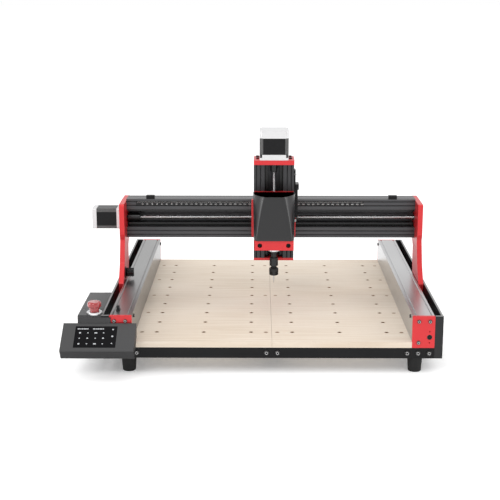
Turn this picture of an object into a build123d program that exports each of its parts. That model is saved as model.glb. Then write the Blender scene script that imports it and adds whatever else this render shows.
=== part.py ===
"""Three-axis CNC router: a bed on two rails, a gantry, an X carriage, a Z carriage and a spindle.

Millimetres. The origin is the centre of the bed's top face. +X is to the operator's right,
+Y is away from the operator and +Z is up.
"""
import os
from math import cos, radians, sin

from build123d import *

# --- Driving dimensions -------------------------------------------------------------------

# Bed and frame
bed_length = 620.0
bed_width = 510.0
board_thickness = 11.0
board_gap = 0.3
frame_bar = 20.0
side_profile_ledge = 18.4
centre_profile_width = 40.0
foot_height = 28.0
foot_top_radius = 14.0
foot_bottom_radius = 12.0
foot_inset_x = 48.0
foot_inset_y = 16.0
foot_recess = 15.4
foot_screw_length = 20.0
foot_screw_depth = 8.0
profile_overhang = 0.6
core_spacing = 20.0
slot_mouth, slot_floor_width = 6.0, 8.0
slot_lip, slot_depth = 1.5, 3.5

# Grid of threaded inserts and the screws that hold the bed boards
grid_pitch_y = 63.0
grid_rows = 9
insert_columns = (38.5, 127.0, 215.0)
insert_radius = 4.0
insert_bore = 2.5
board_screw_inset = 12.0
board_seam_inset = 10.5
board_screw_head = 4.0
board_screw_shank = 2.0
board_screw_depth = 6.0
board_screw_sink = 0.1

# The channel profile that all three axes share
mouth = 37.0
back_wall = 6.0
guide_width, guide_height = 9.0, 6.5
guide_depth = 20.0
guide_gap = 0.3
slider_gap = 0.7
slider_start, slider_end = 3.0, 31.0
slider_length = 60.0
vee = 2.0
vee_insets = (5.5, 13.5)
press_fit = 0.02

# Lead screws, nuts, bearings and couplers
screw_radius = 4.0
screw_fit = 0.05
nut_radius = 7.0
nut_length = 15.0
bearing_radius = 8.0
bearing_width = 5.0
bearing_lip = 1.0
bearing_window = 4.8
coupler_length = 26.0
coupler_grip = 12.0
coupler_chamfer = 0.6
shaft_gap = 0.5
shaft_depth = 8.0
small_coupler_radius = 8.0
large_coupler_radius = 7.0
motor_shaft_radius = 2.5
shaft_clearance = 1.0

# Y rails, their covers and end plates
rail_width = 40.0
rail_height = 60.0
rail_module = 20.0
top_vee_insets = (7.0, 35.0)
y_screw_inset = 8.5
y_screw_height = 20.4
y_slider_bottom = -1.0
y_screw_clear = 10.0
side_screw_height = 41.0
side_screw_front, side_screw_rear = -281.0, 296.0
slot_width = 12.0
cover_thickness = 4.0
end_plate_thickness = 6.0
plate_bolt_inset = 10.0
plate_bolt_shift = 1.7
side_screw_length = 6.0
retainer_radius, retainer_depth, retainer_offset = 1.3, 3.0, 10.5
y_coupler_inset = 5.0

# Gantry
plate_thickness = 10.0
plate_top = 202.0
plate_front, plate_back = -45.0, 61.0
plate_round = 5.0
foot_front, foot_back, foot_low = -84.0, 11.0, 1.0
beam_front = -2.0
beam_bottom = 125.0
beam_height = 80.0
beam_depth = 40.0
gantry_bolt_length = 22.0
gantry_bolt_recess = 3.2
gantry_recess_depth = 5.0
slider_bolt_spacing = 20.0
stop_block_places = (-255.0, 241.0)
stop_block_width, stop_block_depth, stop_block_height = 17.0, 10.0, 7.5
x_screw_inset = 14.0
y_slider_centre = -36.0
ruler_start, ruler_end = -276.0, 190.0
ruler_low, ruler_high = 192.0, 200.0
ruler_thickness = 0.3

# X carriage and the Z profile
carriage_x = 5.5
carriage_plate_width = 90.0
carriage_plate_thickness = 8.0
carriage_plate_low, carriage_plate_high = 130.0, 208.0
carriage_gap = 11.0
z_profile_width = 80.0
z_profile_depth = 40.0
z_profile_bottom, z_profile_top = 96.0, 288.0
z_screw_inset = 11.0
z_top_plate_depth = 58.0
z_top_plate_thickness = 9.0
z_bottom_plate_thickness = 5.0
z_slider_centre = 180.0
top_screw_inset = 7.5
bracket_low, bracket_high = 167.0, 273.0
bracket_inset, bracket_depth, bracket_thickness = 12.0, 20.0, 3.5
socket_low, socket_high, socket_thickness = 176.0, 234.0, 4.5
plug_top, plug_thickness, plug_margin = 245.0, 6.5, 3.0

# Spindle carriage
spindle_plate_width = 78.0
spindle_plate_thickness = 7.0
spindle_plate_gap = 1.0
spindle_plate_top = 233.0
spindle_offset = 34.0
clamp_width = 76.5
clamp_bottom, clamp_top = 129.0, 148.0
clamp_front = 32.0
clamp_split = 1.0
clamp_bolt_sink = 8.0
clamp_head_radius, clamp_head_height, clamp_bolt_length = 4.4, 5.0, 40.0
clamp_bolt_spacing = 55.5
motor_radius = 22.0
motor_bottom, motor_top = 127.0, 194.0
nose_radius, nose_bottom = 11.0, 121.0
clamp_fit = 0.02
spindle_shaft_fit = 0.08
holder_radius, holder_top = 5.5, 120.5
hex_across = 14.5
hex_bottom, hex_top = 91.0, 107.0
nut_bottom, nut_top = 72.0, 87.0
holder_overlap = 6.0
shaft_seat, shank_seat = 8.0, 4.0
collet_nut_radius = 9.25
cutter_shank, cutter_top, cutter_tip = 1.5875, 84.0, 55.0
cutter_point_length, cutter_point_radius = 8.0, 0.2
nut_notch_width, nut_notch_height, nut_notch_depth = 4.0, 7.0, 0.8

# Spindle cover
cover_wall = 2.5
cover_width = 78.0
cover_flat_low, cover_flat_high = 70.0, 50.0
cover_front_low, cover_front_high = 33.0, 23.0
cover_shoulder = 8.0

# Motors: square sizes and lengths of the standard frames
small_motor_size = 42.3
small_motor_flange, small_motor_stack, small_motor_cap = 10.0, 41.0, 9.0
y_motor_stack = 21.0
large_motor_size = 57.0
large_motor_flange, large_motor_stack, large_motor_cap = 11.0, 32.0, 15.0
large_motor_plate, large_motor_notch = 5.0, 5.0
large_motor_bolt_spacing = 47.14
motor_round, motor_chamfer = 0.07, 0.1

# Control box, emergency stop and touch screen
box_width, box_length, box_wall = 42.0, 156.0, 2.0
lid_height, lid_front = 6.0, 6.0
lid_post, lid_screw_inset, lid_screw_front, lid_screw_back = 4.0, 6.0, 40.0, 7.0
lid_screw_sink = 2.6
stop_x_inset, stop_y_inset = 13.0, 15.5
stop_flange_radius, stop_flange_height = 14.5, 4.0
stop_barrel_radius, stop_bore, stop_barrel_depth = 10.5, 8.3, 30.0
stop_plunger_radius, stop_skirt_radius, stop_head_radius = 8.0, 9.5, 12.5
stop_gap, stop_skirt_height, stop_head_height = 4.5, 4.0, 10.0
stop_plunger_lift = 8.0
rocker_length, rocker_height, rocker_gap = 19.0, 13.0, 0.5
rocker_inset, rocker_level = 28.0, 45.0
rocker_pin_radius, rocker_pin_reach, rocker_pin_inset = 1.2, 0.3, 1.0
rocker_valley, rocker_peak, rocker_depth, rocker_taper = 0.6, 2.5, 5.0, 0.6
screen_left, screen_width = -378.0, 132.0
screen_slope, screen_tilt, screen_thickness = 64.5, 32.0, 22.0
screen_top_gap, screen_top_z = 5.0, 36.0
screen_back_gap = 3.5
screen_bracket_drop, screen_bracket_rise, screen_bracket_inset = 16.0, 10.0, 2.0
display_fit = 0.05
display_width, display_height, display_thickness = 75.5, 50.0, 8.0
display_left_margin, display_top_margin = 23.4, 7.0

# Fasteners
bolt_radius, bolt_head_radius, bolt_head_height, bolt_length = 2.5, 4.75, 2.8, 16.0
small_radius, small_head_radius, small_head_height, small_length = 2.0, 3.5, 2.4, 12.0
hole_clearance = 0.1

# --- Places worked out from the dimensions ------------------------------------------------

half_length = bed_length / 2
half_width = bed_width / 2
frame_top = -board_thickness
frame_bottom = frame_top - frame_bar
floor = frame_bottom - foot_height
rail_outer = half_width + rail_width
plate_inner = rail_outer + 1.0
plate_outer = plate_inner + plate_thickness
cover_inner = rail_outer + slot_width
cover_outer = cover_inner + cover_thickness
rail_top = frame_top + rail_height
rail_end = half_length - end_plate_thickness
y_screw_x = rail_outer - y_screw_inset
y_screw_z = frame_top + y_screw_height
profile_outer = plate_inner + profile_overhang
side_profile_width = profile_outer - half_width + side_profile_ledge
profile_x = profile_outer - side_profile_width / 2
beam_back = beam_front + beam_depth
beam_centre = beam_bottom + beam_height / 2
x_screw_y = beam_front + x_screw_inset
z_back = beam_front - carriage_gap - carriage_plate_thickness
z_front = z_back - z_profile_depth
z_screw_y = z_front + z_screw_inset
spindle_plate_back = z_front - spindle_plate_gap
spindle_plate_front = spindle_plate_back - spindle_plate_thickness
spindle_y = spindle_plate_front - spindle_offset
box_left = -cover_outer - box_width
box_front = -half_length
box_back = box_front + box_length
y_rows = [(i - (grid_rows - 1) / 2) * grid_pitch_y for i in range(grid_rows)]
side_signs = {"left": -1, "right": 1}


# --- Shapes -------------------------------------------------------------------------------

def block(x0, x1, y0, y1, z0, z1):
    """A box between two corners."""
    middle = Pos((x0 + x1) / 2, (y0 + y1) / 2, (z0 + z1) / 2)
    return middle * Box(abs(x1 - x0), abs(y1 - y0), abs(z1 - z0))


def rod(radius, start, end):
    """A cylinder from one point to another."""
    along = Vector(*end) - Vector(*start)
    upright = (Align.CENTER, Align.CENTER, Align.MIN)
    return Plane(origin=start, z_dir=along) * Cylinder(radius, along.length, align=upright)


def post(radius, x, y, low, high):
    """An upright cylinder between two heights."""
    return rod(radius, (x, y, low), (x, y, high))


def bolt(head_at, direction, sizes):
    """A button-head bolt: the head stands out of the surface point, the shank runs inwards."""
    radius, head_radius, head_height, length = sizes
    point, inwards = Vector(*head_at), Vector(*direction)
    head = rod(head_radius, point - inwards * head_height, point)
    rim = head.edges().sort_by(lambda e: (e.center() - point).dot(inwards))[0]
    head = fillet(rim, min(head_height * 0.6, head_radius * 0.35))
    shank = rod(radius, point, point + inwards * length)
    return head + shank - hex_socket(point, inwards, radius, head_height)


def hex_socket(point, inwards, radius, head_height):
    """The hexagon socket in a bolt's head."""
    top = Plane(origin=point - inwards * head_height, z_dir=inwards)
    return extrude(top * RegularPolygon(radius * 0.9, 6), head_height * 0.6)


def bolt_hole(head_at, direction, sizes):
    """The hole that a bolt's shank needs."""
    point, inwards = Vector(*head_at), Vector(*direction)
    return rod(sizes[0] + hole_clearance, point, point + inwards * (sizes[3] + 1))


small_bolt = (small_radius, small_head_radius, small_head_height, small_length)


def channel_section(width, depth):
    """A C-shaped profile section: the mouth is on the line y = 0, the width is centred on x = 0."""
    half = width / 2
    cavity = depth - back_wall
    section = Pos(0, depth / 2) * Rectangle(width, depth) - Pos(0, cavity / 2) * Rectangle(mouth, cavity)
    for side in (-1, 1):
        for inset in vee_insets:
            section -= Pos(side * (half - inset), 0) * Rot(0, 0, 45) * Rectangle(vee, vee)
        for groove_y in (depth / 4, depth * 3 / 4):
            section -= Pos(side * half, groove_y) * Rot(0, 0, 45) * Rectangle(vee, vee)
    return section


def guide_places(middle):
    """The two guide rails of a channel, as distances across and into it."""
    across = mouth / 2 - guide_height / 2
    return [(middle + side * across, guide_depth) for side in (-1, 1)]


def slider_section(neck):
    """The sliding block of a channel, grooved for the guide rails, with a neck out of the mouth."""
    section = Pos(0, (slider_end - neck) / 2) * Rectangle(mouth - 2 * slider_gap, slider_end + neck)
    groove = Rectangle(2 * (guide_height + guide_gap), guide_width + 2 * guide_gap)
    for side in (-1, 1):
        section -= Pos(side * mouth / 2, guide_depth) * groove
    return section


def motor_bells(size, flange, stack, cap):
    """The mounting flange and the end cap of a stepper motor, along +Z from its mounting face."""
    square = RectangleRounded(size, size, size * motor_round)
    bottom = extrude(square, flange)
    top = Pos(0, 0, flange + stack) * extrude(square, cap)
    bore = Cylinder(motor_shaft_radius + shaft_clearance, 3 * flange)
    return [bottom - bore, top]


def motor_stack(size, flange, stack):
    """The laminated stack between a stepper motor's flange and its cap, with notched corners."""
    body = Pos(0, 0, flange + stack / 2) * Box(size, size, stack)
    body = chamfer(body.edges().filter_by(Axis.Z), size * motor_chamfer)
    return body - post(motor_shaft_radius + shaft_clearance, 0, 0, flange, flange + stack * 0.6)


def coupler(radius, length, bore_start, bore_end):
    """A shaft coupler along +Z, with one bore from each end."""
    body = Cylinder(radius, length, align=(Align.CENTER, Align.CENTER, Align.MIN))
    body = chamfer(body.edges().group_by(Axis.Z)[0] + body.edges().group_by(Axis.Z)[-1], coupler_chamfer)
    body -= post(bore_start + press_fit, 0, 0, -1, coupler_grip)
    return body - post(bore_end + press_fit, 0, 0, length - coupler_grip, length + 1)


def mirrored(shape, sign):
    """The shape itself for the right side, or its mirror image for the left side."""
    return shape if sign > 0 else mirror(shape, Plane.YZ)


# --- Bed and frame ------------------------------------------------------------------------

def foot_places():
    """The centres of the four feet."""
    x, y = cover_outer - foot_inset_x, half_length - foot_inset_y
    return [(sx * x, sy * y) for sx in (-1, 1) for sy in (-1, 1)]


def foot_screw(x, y):
    """The screw that holds a foot, with its head up in the foot's recess."""
    sizes = (bolt_radius, bolt_head_radius, bolt_head_height, foot_screw_length)
    return bolt((x, y, floor + foot_recess), (0, 0, 1), sizes)


def feet():
    """Four tapered rubber feet, each with a recess for its screw."""
    upright = (Align.CENTER, Align.CENTER, Align.MIN)
    made = []
    for x, y in foot_places():
        cone = Cone(foot_bottom_radius, foot_top_radius, foot_height, align=upright)
        cone = fillet(cone.edges().group_by(Axis.Z)[0], 1.5)
        cone -= Cylinder(bolt_head_radius + 1, foot_recess, align=upright)
        cone -= Cylinder(bolt_radius + hole_clearance, foot_height, align=upright)
        made.append(Pos(x, y, floor) * cone)
    return made


def beam_bolt_places():
    """Where the cross beams are bolted to the ends of the profiles that run under the bed."""
    side = [s * (profile_x + k * core_spacing) for s in (-1, 1) for k in (-1, 0, 1)]
    centre = [s * core_spacing / 2 for s in (-1, 1)]
    return side + centre


def cross_beam_bolts():
    """Bolts through the front and rear cross beams, and the screws of the feet."""
    z = (frame_top + frame_bottom) / 2
    long_bolt = (bolt_radius, bolt_head_radius, bolt_head_height, frame_bar + bolt_length)
    made = []
    for sign in (-1, 1):
        made += [bolt((x, sign * half_length, z), (0, -sign, 0), long_bolt) for x in beam_bolt_places()]
    return made + [foot_screw(x, y) for x, y in foot_places()]


def cross_beams():
    """The front and rear bars that tie the frame together."""
    z = (frame_top + frame_bottom) / 2
    made = []
    for sign in (-1, 1):
        y0, y1 = sign * half_length, sign * (half_length - frame_bar)
        beam = block(-plate_inner, plate_inner, min(y0, y1), max(y0, y1), frame_bottom, frame_top)
        for x in beam_bolt_places():
            beam -= rod(bolt_radius + hole_clearance, (x, y0, z), (x, y1, z))
        for x, y in foot_places():
            beam -= post(bolt_radius + hole_clearance, x, y, frame_bottom, frame_top - foot_screw_depth)
        made.append(beam)
    return made


def under_profiles():
    """The slotted profiles that run from the front to the back under the bed."""
    inner = half_length - frame_bar
    z = (frame_top + frame_bottom) / 2
    made = []
    widths = {-profile_x: side_profile_width, 0: centre_profile_width, profile_x: side_profile_width}
    for x, width in widths.items():
        bar = block(x - width / 2, x + width / 2, -inner, inner, frame_bottom, frame_top)
        cores = round(width / core_spacing)
        for k in range(cores):
            core = x + (k - (cores - 1) / 2) * core_spacing
            bar -= rod(bolt_radius + hole_clearance, (core, -inner, z), (core, inner, z))
            for slot, low, high in ((slot_mouth, 0, slot_lip), (slot_floor_width, slot_lip, slot_depth)):
                left, right = core - slot / 2, core + slot / 2
                bar -= block(left, right, -inner, inner, frame_bottom + low, frame_bottom + high)
        for screw_x, y in board_screw_places():
            if abs(screw_x - x) < width / 2:
                bar -= post(board_screw_shank + hole_clearance, screw_x, y, frame_top - board_screw_depth - 1,
                            frame_top)
        made.append(bar)
    return made


def board_screw_places():
    """The countersunk screws that hold the bed boards down."""
    edge = [(s * (half_width - board_screw_inset), y) for s in (-1, 1) for y in y_rows[::2]]
    seam = [(s * board_seam_inset, y) for s in (-1, 1) for y in y_rows[::4]]
    return edge + seam


def insert_places():
    """The threaded inserts that clamps are screwed into."""
    return [(s * x, y) for s in (-1, 1) for x in insert_columns for y in y_rows]


def spoilboard(sign):
    """One of the two wooden boards of the bed, with its holes."""
    board = block(board_gap / 2, half_width, -half_length, half_length, frame_top, 0)
    board = mirrored(board, sign)
    for x, y in insert_places():
        if x * sign > 0:
            board -= post(insert_radius + press_fit, x, y, frame_top, 0)
    for x, y in board_screw_places():
        if x * sign > 0:
            board -= post(board_screw_shank + hole_clearance, x, y, frame_top, 0)
            board -= Pos(x, y, -board_screw_head / 2) * Cone(
                board_screw_shank, board_screw_head + hole_clearance, board_screw_head)
    return board


def board_inserts():
    """Brass threaded inserts, flush with the top of the boards."""
    return [post(insert_radius, x, y, frame_top, 0) - post(insert_bore, x, y, frame_top, 0)
            for x, y in insert_places()]


def board_screws():
    """Countersunk screws, their heads just under the top of the boards."""
    made = []
    for x, y in board_screw_places():
        size = board_screw_head - 2 * board_screw_sink
        head = Pos(x, y, -board_screw_head / 2 - board_screw_sink) * Cone(board_screw_shank, size, size)
        shank = post(board_screw_shank, x, y, frame_top - board_screw_depth, -board_screw_head / 2)
        made.append(head + shank)
    return made


# --- Y rails ------------------------------------------------------------------------------

def y_rail(sign):
    """One side rail: a tall column against the bed and an arm at the top that covers the screw."""
    column = block(half_width, half_width + rail_module, -rail_end, rail_end, frame_top, rail_top)
    arm = block(half_width, rail_outer, -rail_end, rail_end, rail_top - rail_module, rail_top)
    rail = column + arm
    for inset in top_vee_insets:
        vee_bar = Pos(half_width + inset, 0, rail_top) * Rot(0, 45, 0) * Box(vee, 2 * rail_end, vee)
        rail -= vee_bar
    rail = mirrored(rail, sign)
    for place, direction, sizes in rail_screws(sign):
        rail -= bolt_hole(place, direction, sizes)
    return rail


end_bolt = (small_radius, small_head_radius, small_head_height, end_plate_thickness + small_length)
side_bolt = (small_radius, small_head_radius, small_head_height, side_screw_length)


def rail_screws(sign):
    """The screws of one rail: those of its end plates, and one near each end of its inner face."""
    inner = half_width + plate_bolt_inset + plate_bolt_shift
    outer = rail_outer - plate_bolt_inset + plate_bolt_shift
    top, bottom = rail_top - plate_bolt_inset, frame_top + plate_bolt_inset
    places = [(inner, -1, top), (outer, -1, top), (inner, -1, bottom), (inner, 1, top), (outer, 1, top)]
    screws = [((sign * x, end * half_length, z), (0, -end, 0), end_bolt) for x, end, z in places]
    for y in (side_screw_front, side_screw_rear):
        screws.append(((sign * half_width, y, side_screw_height), (sign, 0, 0), side_bolt))
    return screws


def end_plates():
    """Red plates that close the ends of both rails and carry the Y screws' bearings and motors."""
    made = []
    for sign in (-1, 1):
        for end in (-1, 1):
            plate = block(sign * half_width, sign * (rail_outer + 1), end * rail_end, end * half_length,
                          frame_top, rail_top)
            plate = chamfer(plate.edges().filter_by(Axis.Y), 1.0)
            for place, direction, sizes in rail_screws(sign):
                if direction[1] == -end:
                    plate -= bolt_hole(place, direction, sizes)
            made.append(plate - (bearing_seat(sign) if end < 0 else coupler_window(sign)))
    return made


def bearing_seat(sign):
    """What is cut from a front plate: the bearing's seat, its window and two retainer screw holes."""
    x, z, front = sign * y_screw_x, y_screw_z, -half_length
    seat = rod(bearing_radius + press_fit, (x, front + bearing_lip, z), (x, -rail_end, z))
    window = rod(bearing_window, (x, front, z), (x, front + bearing_lip, z))
    holes = [rod(retainer_radius, (x, front, z + dz), (x, front + retainer_depth, z + dz))
             for dz in (-retainer_offset, retainer_offset)]
    return [seat, window] + holes


def coupler_window(sign):
    """What is cut from a rear plate: the opening that a Y coupler and the motor's boss need."""
    x, z = sign * y_screw_x, y_screw_z
    return rod(small_coupler_radius + shaft_clearance, (x, rail_end, z), (x, half_length, z))


def end_plate_screws():
    """Small black screws of the rails' end plates and of the control box's lid."""
    made = []
    for sign in (-1, 1):
        made += [bolt(*screw) for screw in rail_screws(sign)]
    return made + [bolt(p, (0, 0, -1), small_bolt) for p in lid_screw_places()]


def rail_covers():
    """Long plates that cover the slots of both rails from outside, and the blocks at their four ends."""
    plate = block(cover_inner, cover_outer, -rail_end, rail_end, frame_bottom, rail_top)
    plate = fillet(plate.edges().filter_by(Axis.Y).sort_by(Axis.Z)[-1], 1.0)
    ends = [block(rail_outer + 1.2, cover_outer, end * rail_end, end * half_length, frame_bottom, rail_top)
            for end in (-1, 1)]
    return [mirrored(shape, sign) for sign in (-1, 1) for shape in (plate, *ends)]


def y_guides():
    """A steel guide rail under the arm of each side rail."""
    low, high = rail_top - rail_module - guide_height, rail_top - rail_module
    x = half_width + rail_module * 1.5
    return [block(s * (x - guide_width / 2), s * (x + guide_width / 2), -rail_end, rail_end, low, high)
            for s in (-1, 1)]


def y_screw_bearings():
    """Ball bearings at the front ends of the Y screws."""
    return [ring_bearing((s * y_screw_x, -half_length + bearing_lip, y_screw_z), (0, 1, 0)) for s in (-1, 1)]


def ring_bearing(start, direction):
    """A bearing whose bore gives its screw a running clearance."""
    end = Vector(*start) + Vector(*direction) * bearing_width
    return rod(bearing_radius, start, end) - rod(screw_radius + screw_fit, start, end)


def y_lead_screw(sign):
    """A lead screw along a rail, with the coupler and the motor shaft at its rear end."""
    x, z = sign * y_screw_x, y_screw_z
    screw = rod(screw_radius, (x, -half_length + bearing_lip / 2, z),
                (x, y_coupler_start() + coupler_grip - shaft_gap, z))
    return [screw, y_coupler(sign), y_motor_shaft(sign)]


def y_coupler_start():
    """Where the couplers of the Y screws begin."""
    return rail_end - coupler_length - y_coupler_inset


def y_coupler(sign):
    """The coupler between a Y screw and its motor."""
    place = Plane(origin=(sign * y_screw_x, y_coupler_start(), y_screw_z), z_dir=(0, 1, 0))
    return place * coupler(small_coupler_radius, coupler_length, screw_radius, motor_shaft_radius)


def y_motor_plane(sign):
    """The mounting plane of a Y motor on the rear end plate."""
    return Plane(origin=(sign * y_screw_x, half_length, y_screw_z), x_dir=(1, 0, 0), z_dir=(0, 1, 0))


def y_motors():
    """Flange, stack and cap of each of the two Y motors."""
    parts = motor_bells(small_motor_size, small_motor_flange, y_motor_stack, small_motor_cap)
    parts.append(motor_stack(small_motor_size, small_motor_flange, y_motor_stack))
    return [y_motor_plane(s) * part for s in (-1, 1) for part in parts]


def y_motor_shaft(sign):
    """The shaft of a Y motor, from inside the motor into its coupler."""
    x, z = sign * y_screw_x, y_screw_z
    start = y_coupler_start() + coupler_length - coupler_grip + shaft_gap
    return rod(motor_shaft_radius, (x, start, z), (x, half_length + small_motor_flange + shaft_depth, z))


# --- Control box, emergency stop and screen -----------------------------------------------

def lid_screw_places():
    """Four screws through the control box's lid."""
    columns = (box_left + lid_screw_inset, -cover_outer - lid_screw_inset)
    rows = (box_front + lid_screw_front, box_back - lid_screw_back)
    return [(x, y, rail_top - lid_screw_sink) for x in columns for y in rows]


def control_box_base():
    """An open tray with two posts at each end for the lid's screws."""
    low, high = frame_bottom, rail_top - lid_height
    tray = block(box_left, -cover_outer, box_front, box_back, low, high)
    tray -= block(box_left + box_wall, -cover_outer - box_wall, box_front + box_wall, box_back - box_wall,
                  low + box_wall, high)
    for x, y, z in lid_screw_places():
        tray += block(x - lid_post, x + lid_post, y - lid_post, y + lid_post, low + box_wall, high)
        tray -= bolt_hole((x, y, z), (0, 0, -1), small_bolt)
    y, z = rocker_centre()
    half_window, half_height = rocker_length / 2 + rocker_gap, rocker_height / 2 + rocker_gap
    return tray - block(box_left, box_left + box_wall, y - half_window, y + half_window,
                        z - half_height, z + half_height)


def control_box_lid():
    """The lid of the control box, with a rounded front edge and the emergency stop's hole."""
    lid = block(box_left, -cover_outer, box_front, box_back, rail_top - lid_height, rail_top)
    lid = fillet(lid.edges().filter_by(Axis.X).sort_by(lambda e: e.center().Z - e.center().Y)[-1], 4.0)
    lid -= block(box_left + box_wall, -cover_outer - box_wall, box_front + lid_front, box_back - box_wall,
                 rail_top - lid_height, rail_top - box_wall)
    for x, y, z in lid_screw_places():
        lid += block(x - lid_post, x + lid_post, y - lid_post, y + lid_post, rail_top - lid_height,
                     rail_top - 1)
        lid -= bolt_hole((x, y, z), (0, 0, -1), small_bolt)
        lid -= post(small_head_radius + hole_clearance, x, y, z, rail_top)
    x, y = stop_centre()
    return lid - post(stop_barrel_radius + hole_clearance, x, y, rail_top - lid_height, rail_top)


def rocker_centre():
    """The middle of the power switch on the control box's outer wall."""
    return box_back - rocker_inset, frame_bottom + rocker_level


def power_rocker():
    """The rocker of the power switch: a shallow vee that tips about two short pins."""
    y, z = rocker_centre()
    half = rocker_length / 2
    inner = half * rocker_taper
    face = [(0, -half), (-rocker_peak, -half), (-rocker_valley, 0), (-rocker_peak, half), (0, half)]
    outline = Polyline(*face, (rocker_depth, inner), (rocker_depth, -inner), close=True)
    body = Pos(box_left, y, z - rocker_height / 2) * extrude(make_face(outline), rocker_height)
    reach = rocker_height / 2 + rocker_pin_reach
    return body + post(rocker_pin_radius, box_left + rocker_pin_inset, y, z - reach, z + reach)


def stop_centre():
    """The axis of the emergency stop button."""
    return -cover_outer - stop_x_inset, box_front + stop_y_inset


def estop_base():
    """The flange and barrel of the emergency stop."""
    x, y = stop_centre()
    barrel_bottom = rail_top - stop_barrel_depth
    body = post(stop_flange_radius, x, y, rail_top, rail_top + stop_flange_height)
    body = chamfer(body.edges().group_by(Axis.Z)[-1], 1.2)
    body += post(stop_barrel_radius, x, y, barrel_bottom, rail_top)
    return body - post(stop_bore, x, y, barrel_bottom + box_wall, rail_top + stop_flange_height)


def estop_knob():
    """The red mushroom button with its plunger."""
    x, y = stop_centre()
    skirt = rail_top + stop_flange_height + stop_gap
    head = skirt + stop_skirt_height
    knob = post(stop_head_radius, x, y, head, head + stop_head_height)
    knob = fillet(knob.edges().group_by(Axis.Z)[-1], 4.0)
    knob = fillet(knob.edges().group_by(Axis.Z)[0], 2.0)
    knob += post(stop_skirt_radius, x, y, skirt, head + 1)
    return knob + post(stop_plunger_radius, x, y, rail_top - stop_barrel_depth + stop_plunger_lift, head)


def screen_plane():
    """The face of the touch screen: its origin is the top left corner, its y axis runs up the slope."""
    origin = (screen_left, box_front - screen_top_gap, screen_top_z)
    tilt = radians(screen_tilt)
    return Plane(origin=origin, x_dir=(1, 0, 0), z_dir=(0, -sin(tilt), cos(tilt)))


def screen_case():
    """The wedge-shaped case of the touch screen, with a pocket for the display."""
    tilt = radians(screen_tilt)
    top = (box_front - screen_top_gap, screen_top_z)
    back = box_front - screen_back_gap
    lower = (top[0] - screen_slope * cos(tilt), top[1] - screen_slope * sin(tilt))
    under = (lower[0] + screen_thickness * sin(tilt), lower[1] - screen_thickness * cos(tilt))
    rear_z = under[1] + (back - under[0]) * sin(tilt) / cos(tilt)
    outline = Polyline(top, lower, under, (back, rear_z), (back, top[1]), close=True)
    side = Plane(origin=(screen_left, 0, 0), x_dir=(0, 1, 0), z_dir=(1, 0, 0))
    case = extrude(side * make_face(outline), screen_width)
    case = fillet(case.edges().filter_by(Axis.X).sort_by(Axis.Y)[:2], 1.2)
    return case + screen_bracket() - display_block(0)


def display_block(shrink):
    """The block that the display fills, in its place on the case's face."""
    x = display_left_margin + display_width / 2
    y = -display_top_margin - display_height / 2
    body = Box(display_width - 2 * shrink, display_height - 2 * shrink, display_thickness)
    return screen_plane() * (Pos(x, y, -display_thickness / 2) * body)


def display_panel():
    """The glass display module, flush with the case's face."""
    return display_block(display_fit)


def screen_bracket():
    """The strip that holds the case in front of the control box and of the left rail's end plate."""
    back, front = box_front, box_front - screen_back_gap
    strip = block(box_left + screen_bracket_inset, -rail_outer + screen_bracket_inset, front, back,
                  screen_top_z - screen_bracket_drop, screen_top_z + screen_bracket_rise)
    for (x, y, z), direction, sizes in rail_screws(-1):
        strip -= rod(small_head_radius + 2 * hole_clearance, (x, back, z), (x, front, z))
    return strip


# --- Gantry -------------------------------------------------------------------------------

def gantry_outline():
    """The side plate's outline in the YZ plane, with rounded corners."""
    points = [
        (plate_front, plate_top), (plate_front, beam_bottom + 14), (plate_front + 5, beam_bottom + 3),
        (foot_front + 28, 84), (foot_front + 12, 62), (foot_front, rail_top - 1), (foot_front, foot_low),
        (foot_back, foot_low), (foot_back, rail_top + 5), (foot_back + 6, 77), (foot_back + 6, 105),
        (plate_back, 141), (plate_back, plate_top),
    ]
    outline = FilletPolyline(*points, radius=plate_round, close=True)
    return make_face(outline)


def gantry_plate(sign):
    """A red side plate that stands in its rail's slot and carries the beam."""
    side = Plane(origin=(plate_inner, 0, 0), x_dir=(0, 1, 0), z_dir=(1, 0, 0))
    plate = mirrored(extrude(side * gantry_outline(), plate_thickness), sign)
    x0, x1 = sign * plate_inner, sign * plate_outer
    hole = bearing_radius + press_fit if sign > 0 else nose_radius
    plate -= rod(hole, (x0, x_screw_y, beam_centre), (x1, x_screw_y, beam_centre))
    for place, direction in gantry_bolt_places(sign):
        plate -= bolt_hole(place, direction, gantry_bolt)
        outside = (place[0] + sign * gantry_recess_depth, place[1], place[2])
        plate -= rod(bolt_head_radius + guide_gap, place, outside)
    return plate


gantry_bolt = (bolt_radius, bolt_head_radius, bolt_head_height, gantry_bolt_length)


def gantry_bolt_places(sign):
    """Bolts into the beam's upper and lower bands, and recessed bolts into the Y slider."""
    edge = plate_bolt_inset
    beam = [(sign * plate_outer, y, z) for y in (beam_front + edge, beam_back - edge)
            for z in (beam_bottom + edge, beam_bottom + beam_height - edge)]
    slider_z = y_screw_z + y_screw_clear
    slider = [(sign * (plate_outer - gantry_bolt_recess), y_slider_centre + k * slider_bolt_spacing, slider_z)
              for k in (-1, 0, 1)]
    return [(place, (-sign, 0, 0)) for place in beam + slider]


def gantry_bolts():
    """Bolts that hold the side plates to the beam and to the Y sliders."""
    return [bolt(p, d, gantry_bolt) for s in (-1, 1) for p, d in gantry_bolt_places(s)]


def x_beam():
    """The channel profile across the gantry, its mouth towards the front."""
    origin = (-plate_inner, beam_front, beam_centre)
    across = Plane(origin=origin, x_dir=(0, 0, -1), z_dir=(1, 0, 0))
    beam = extrude(across * channel_section(beam_height, beam_depth), 2 * plate_inner)
    for sign in (-1, 1):
        for place, direction in gantry_bolt_places(sign)[:4]:
            beam -= bolt_hole(place, direction, gantry_bolt)
    return beam


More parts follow.
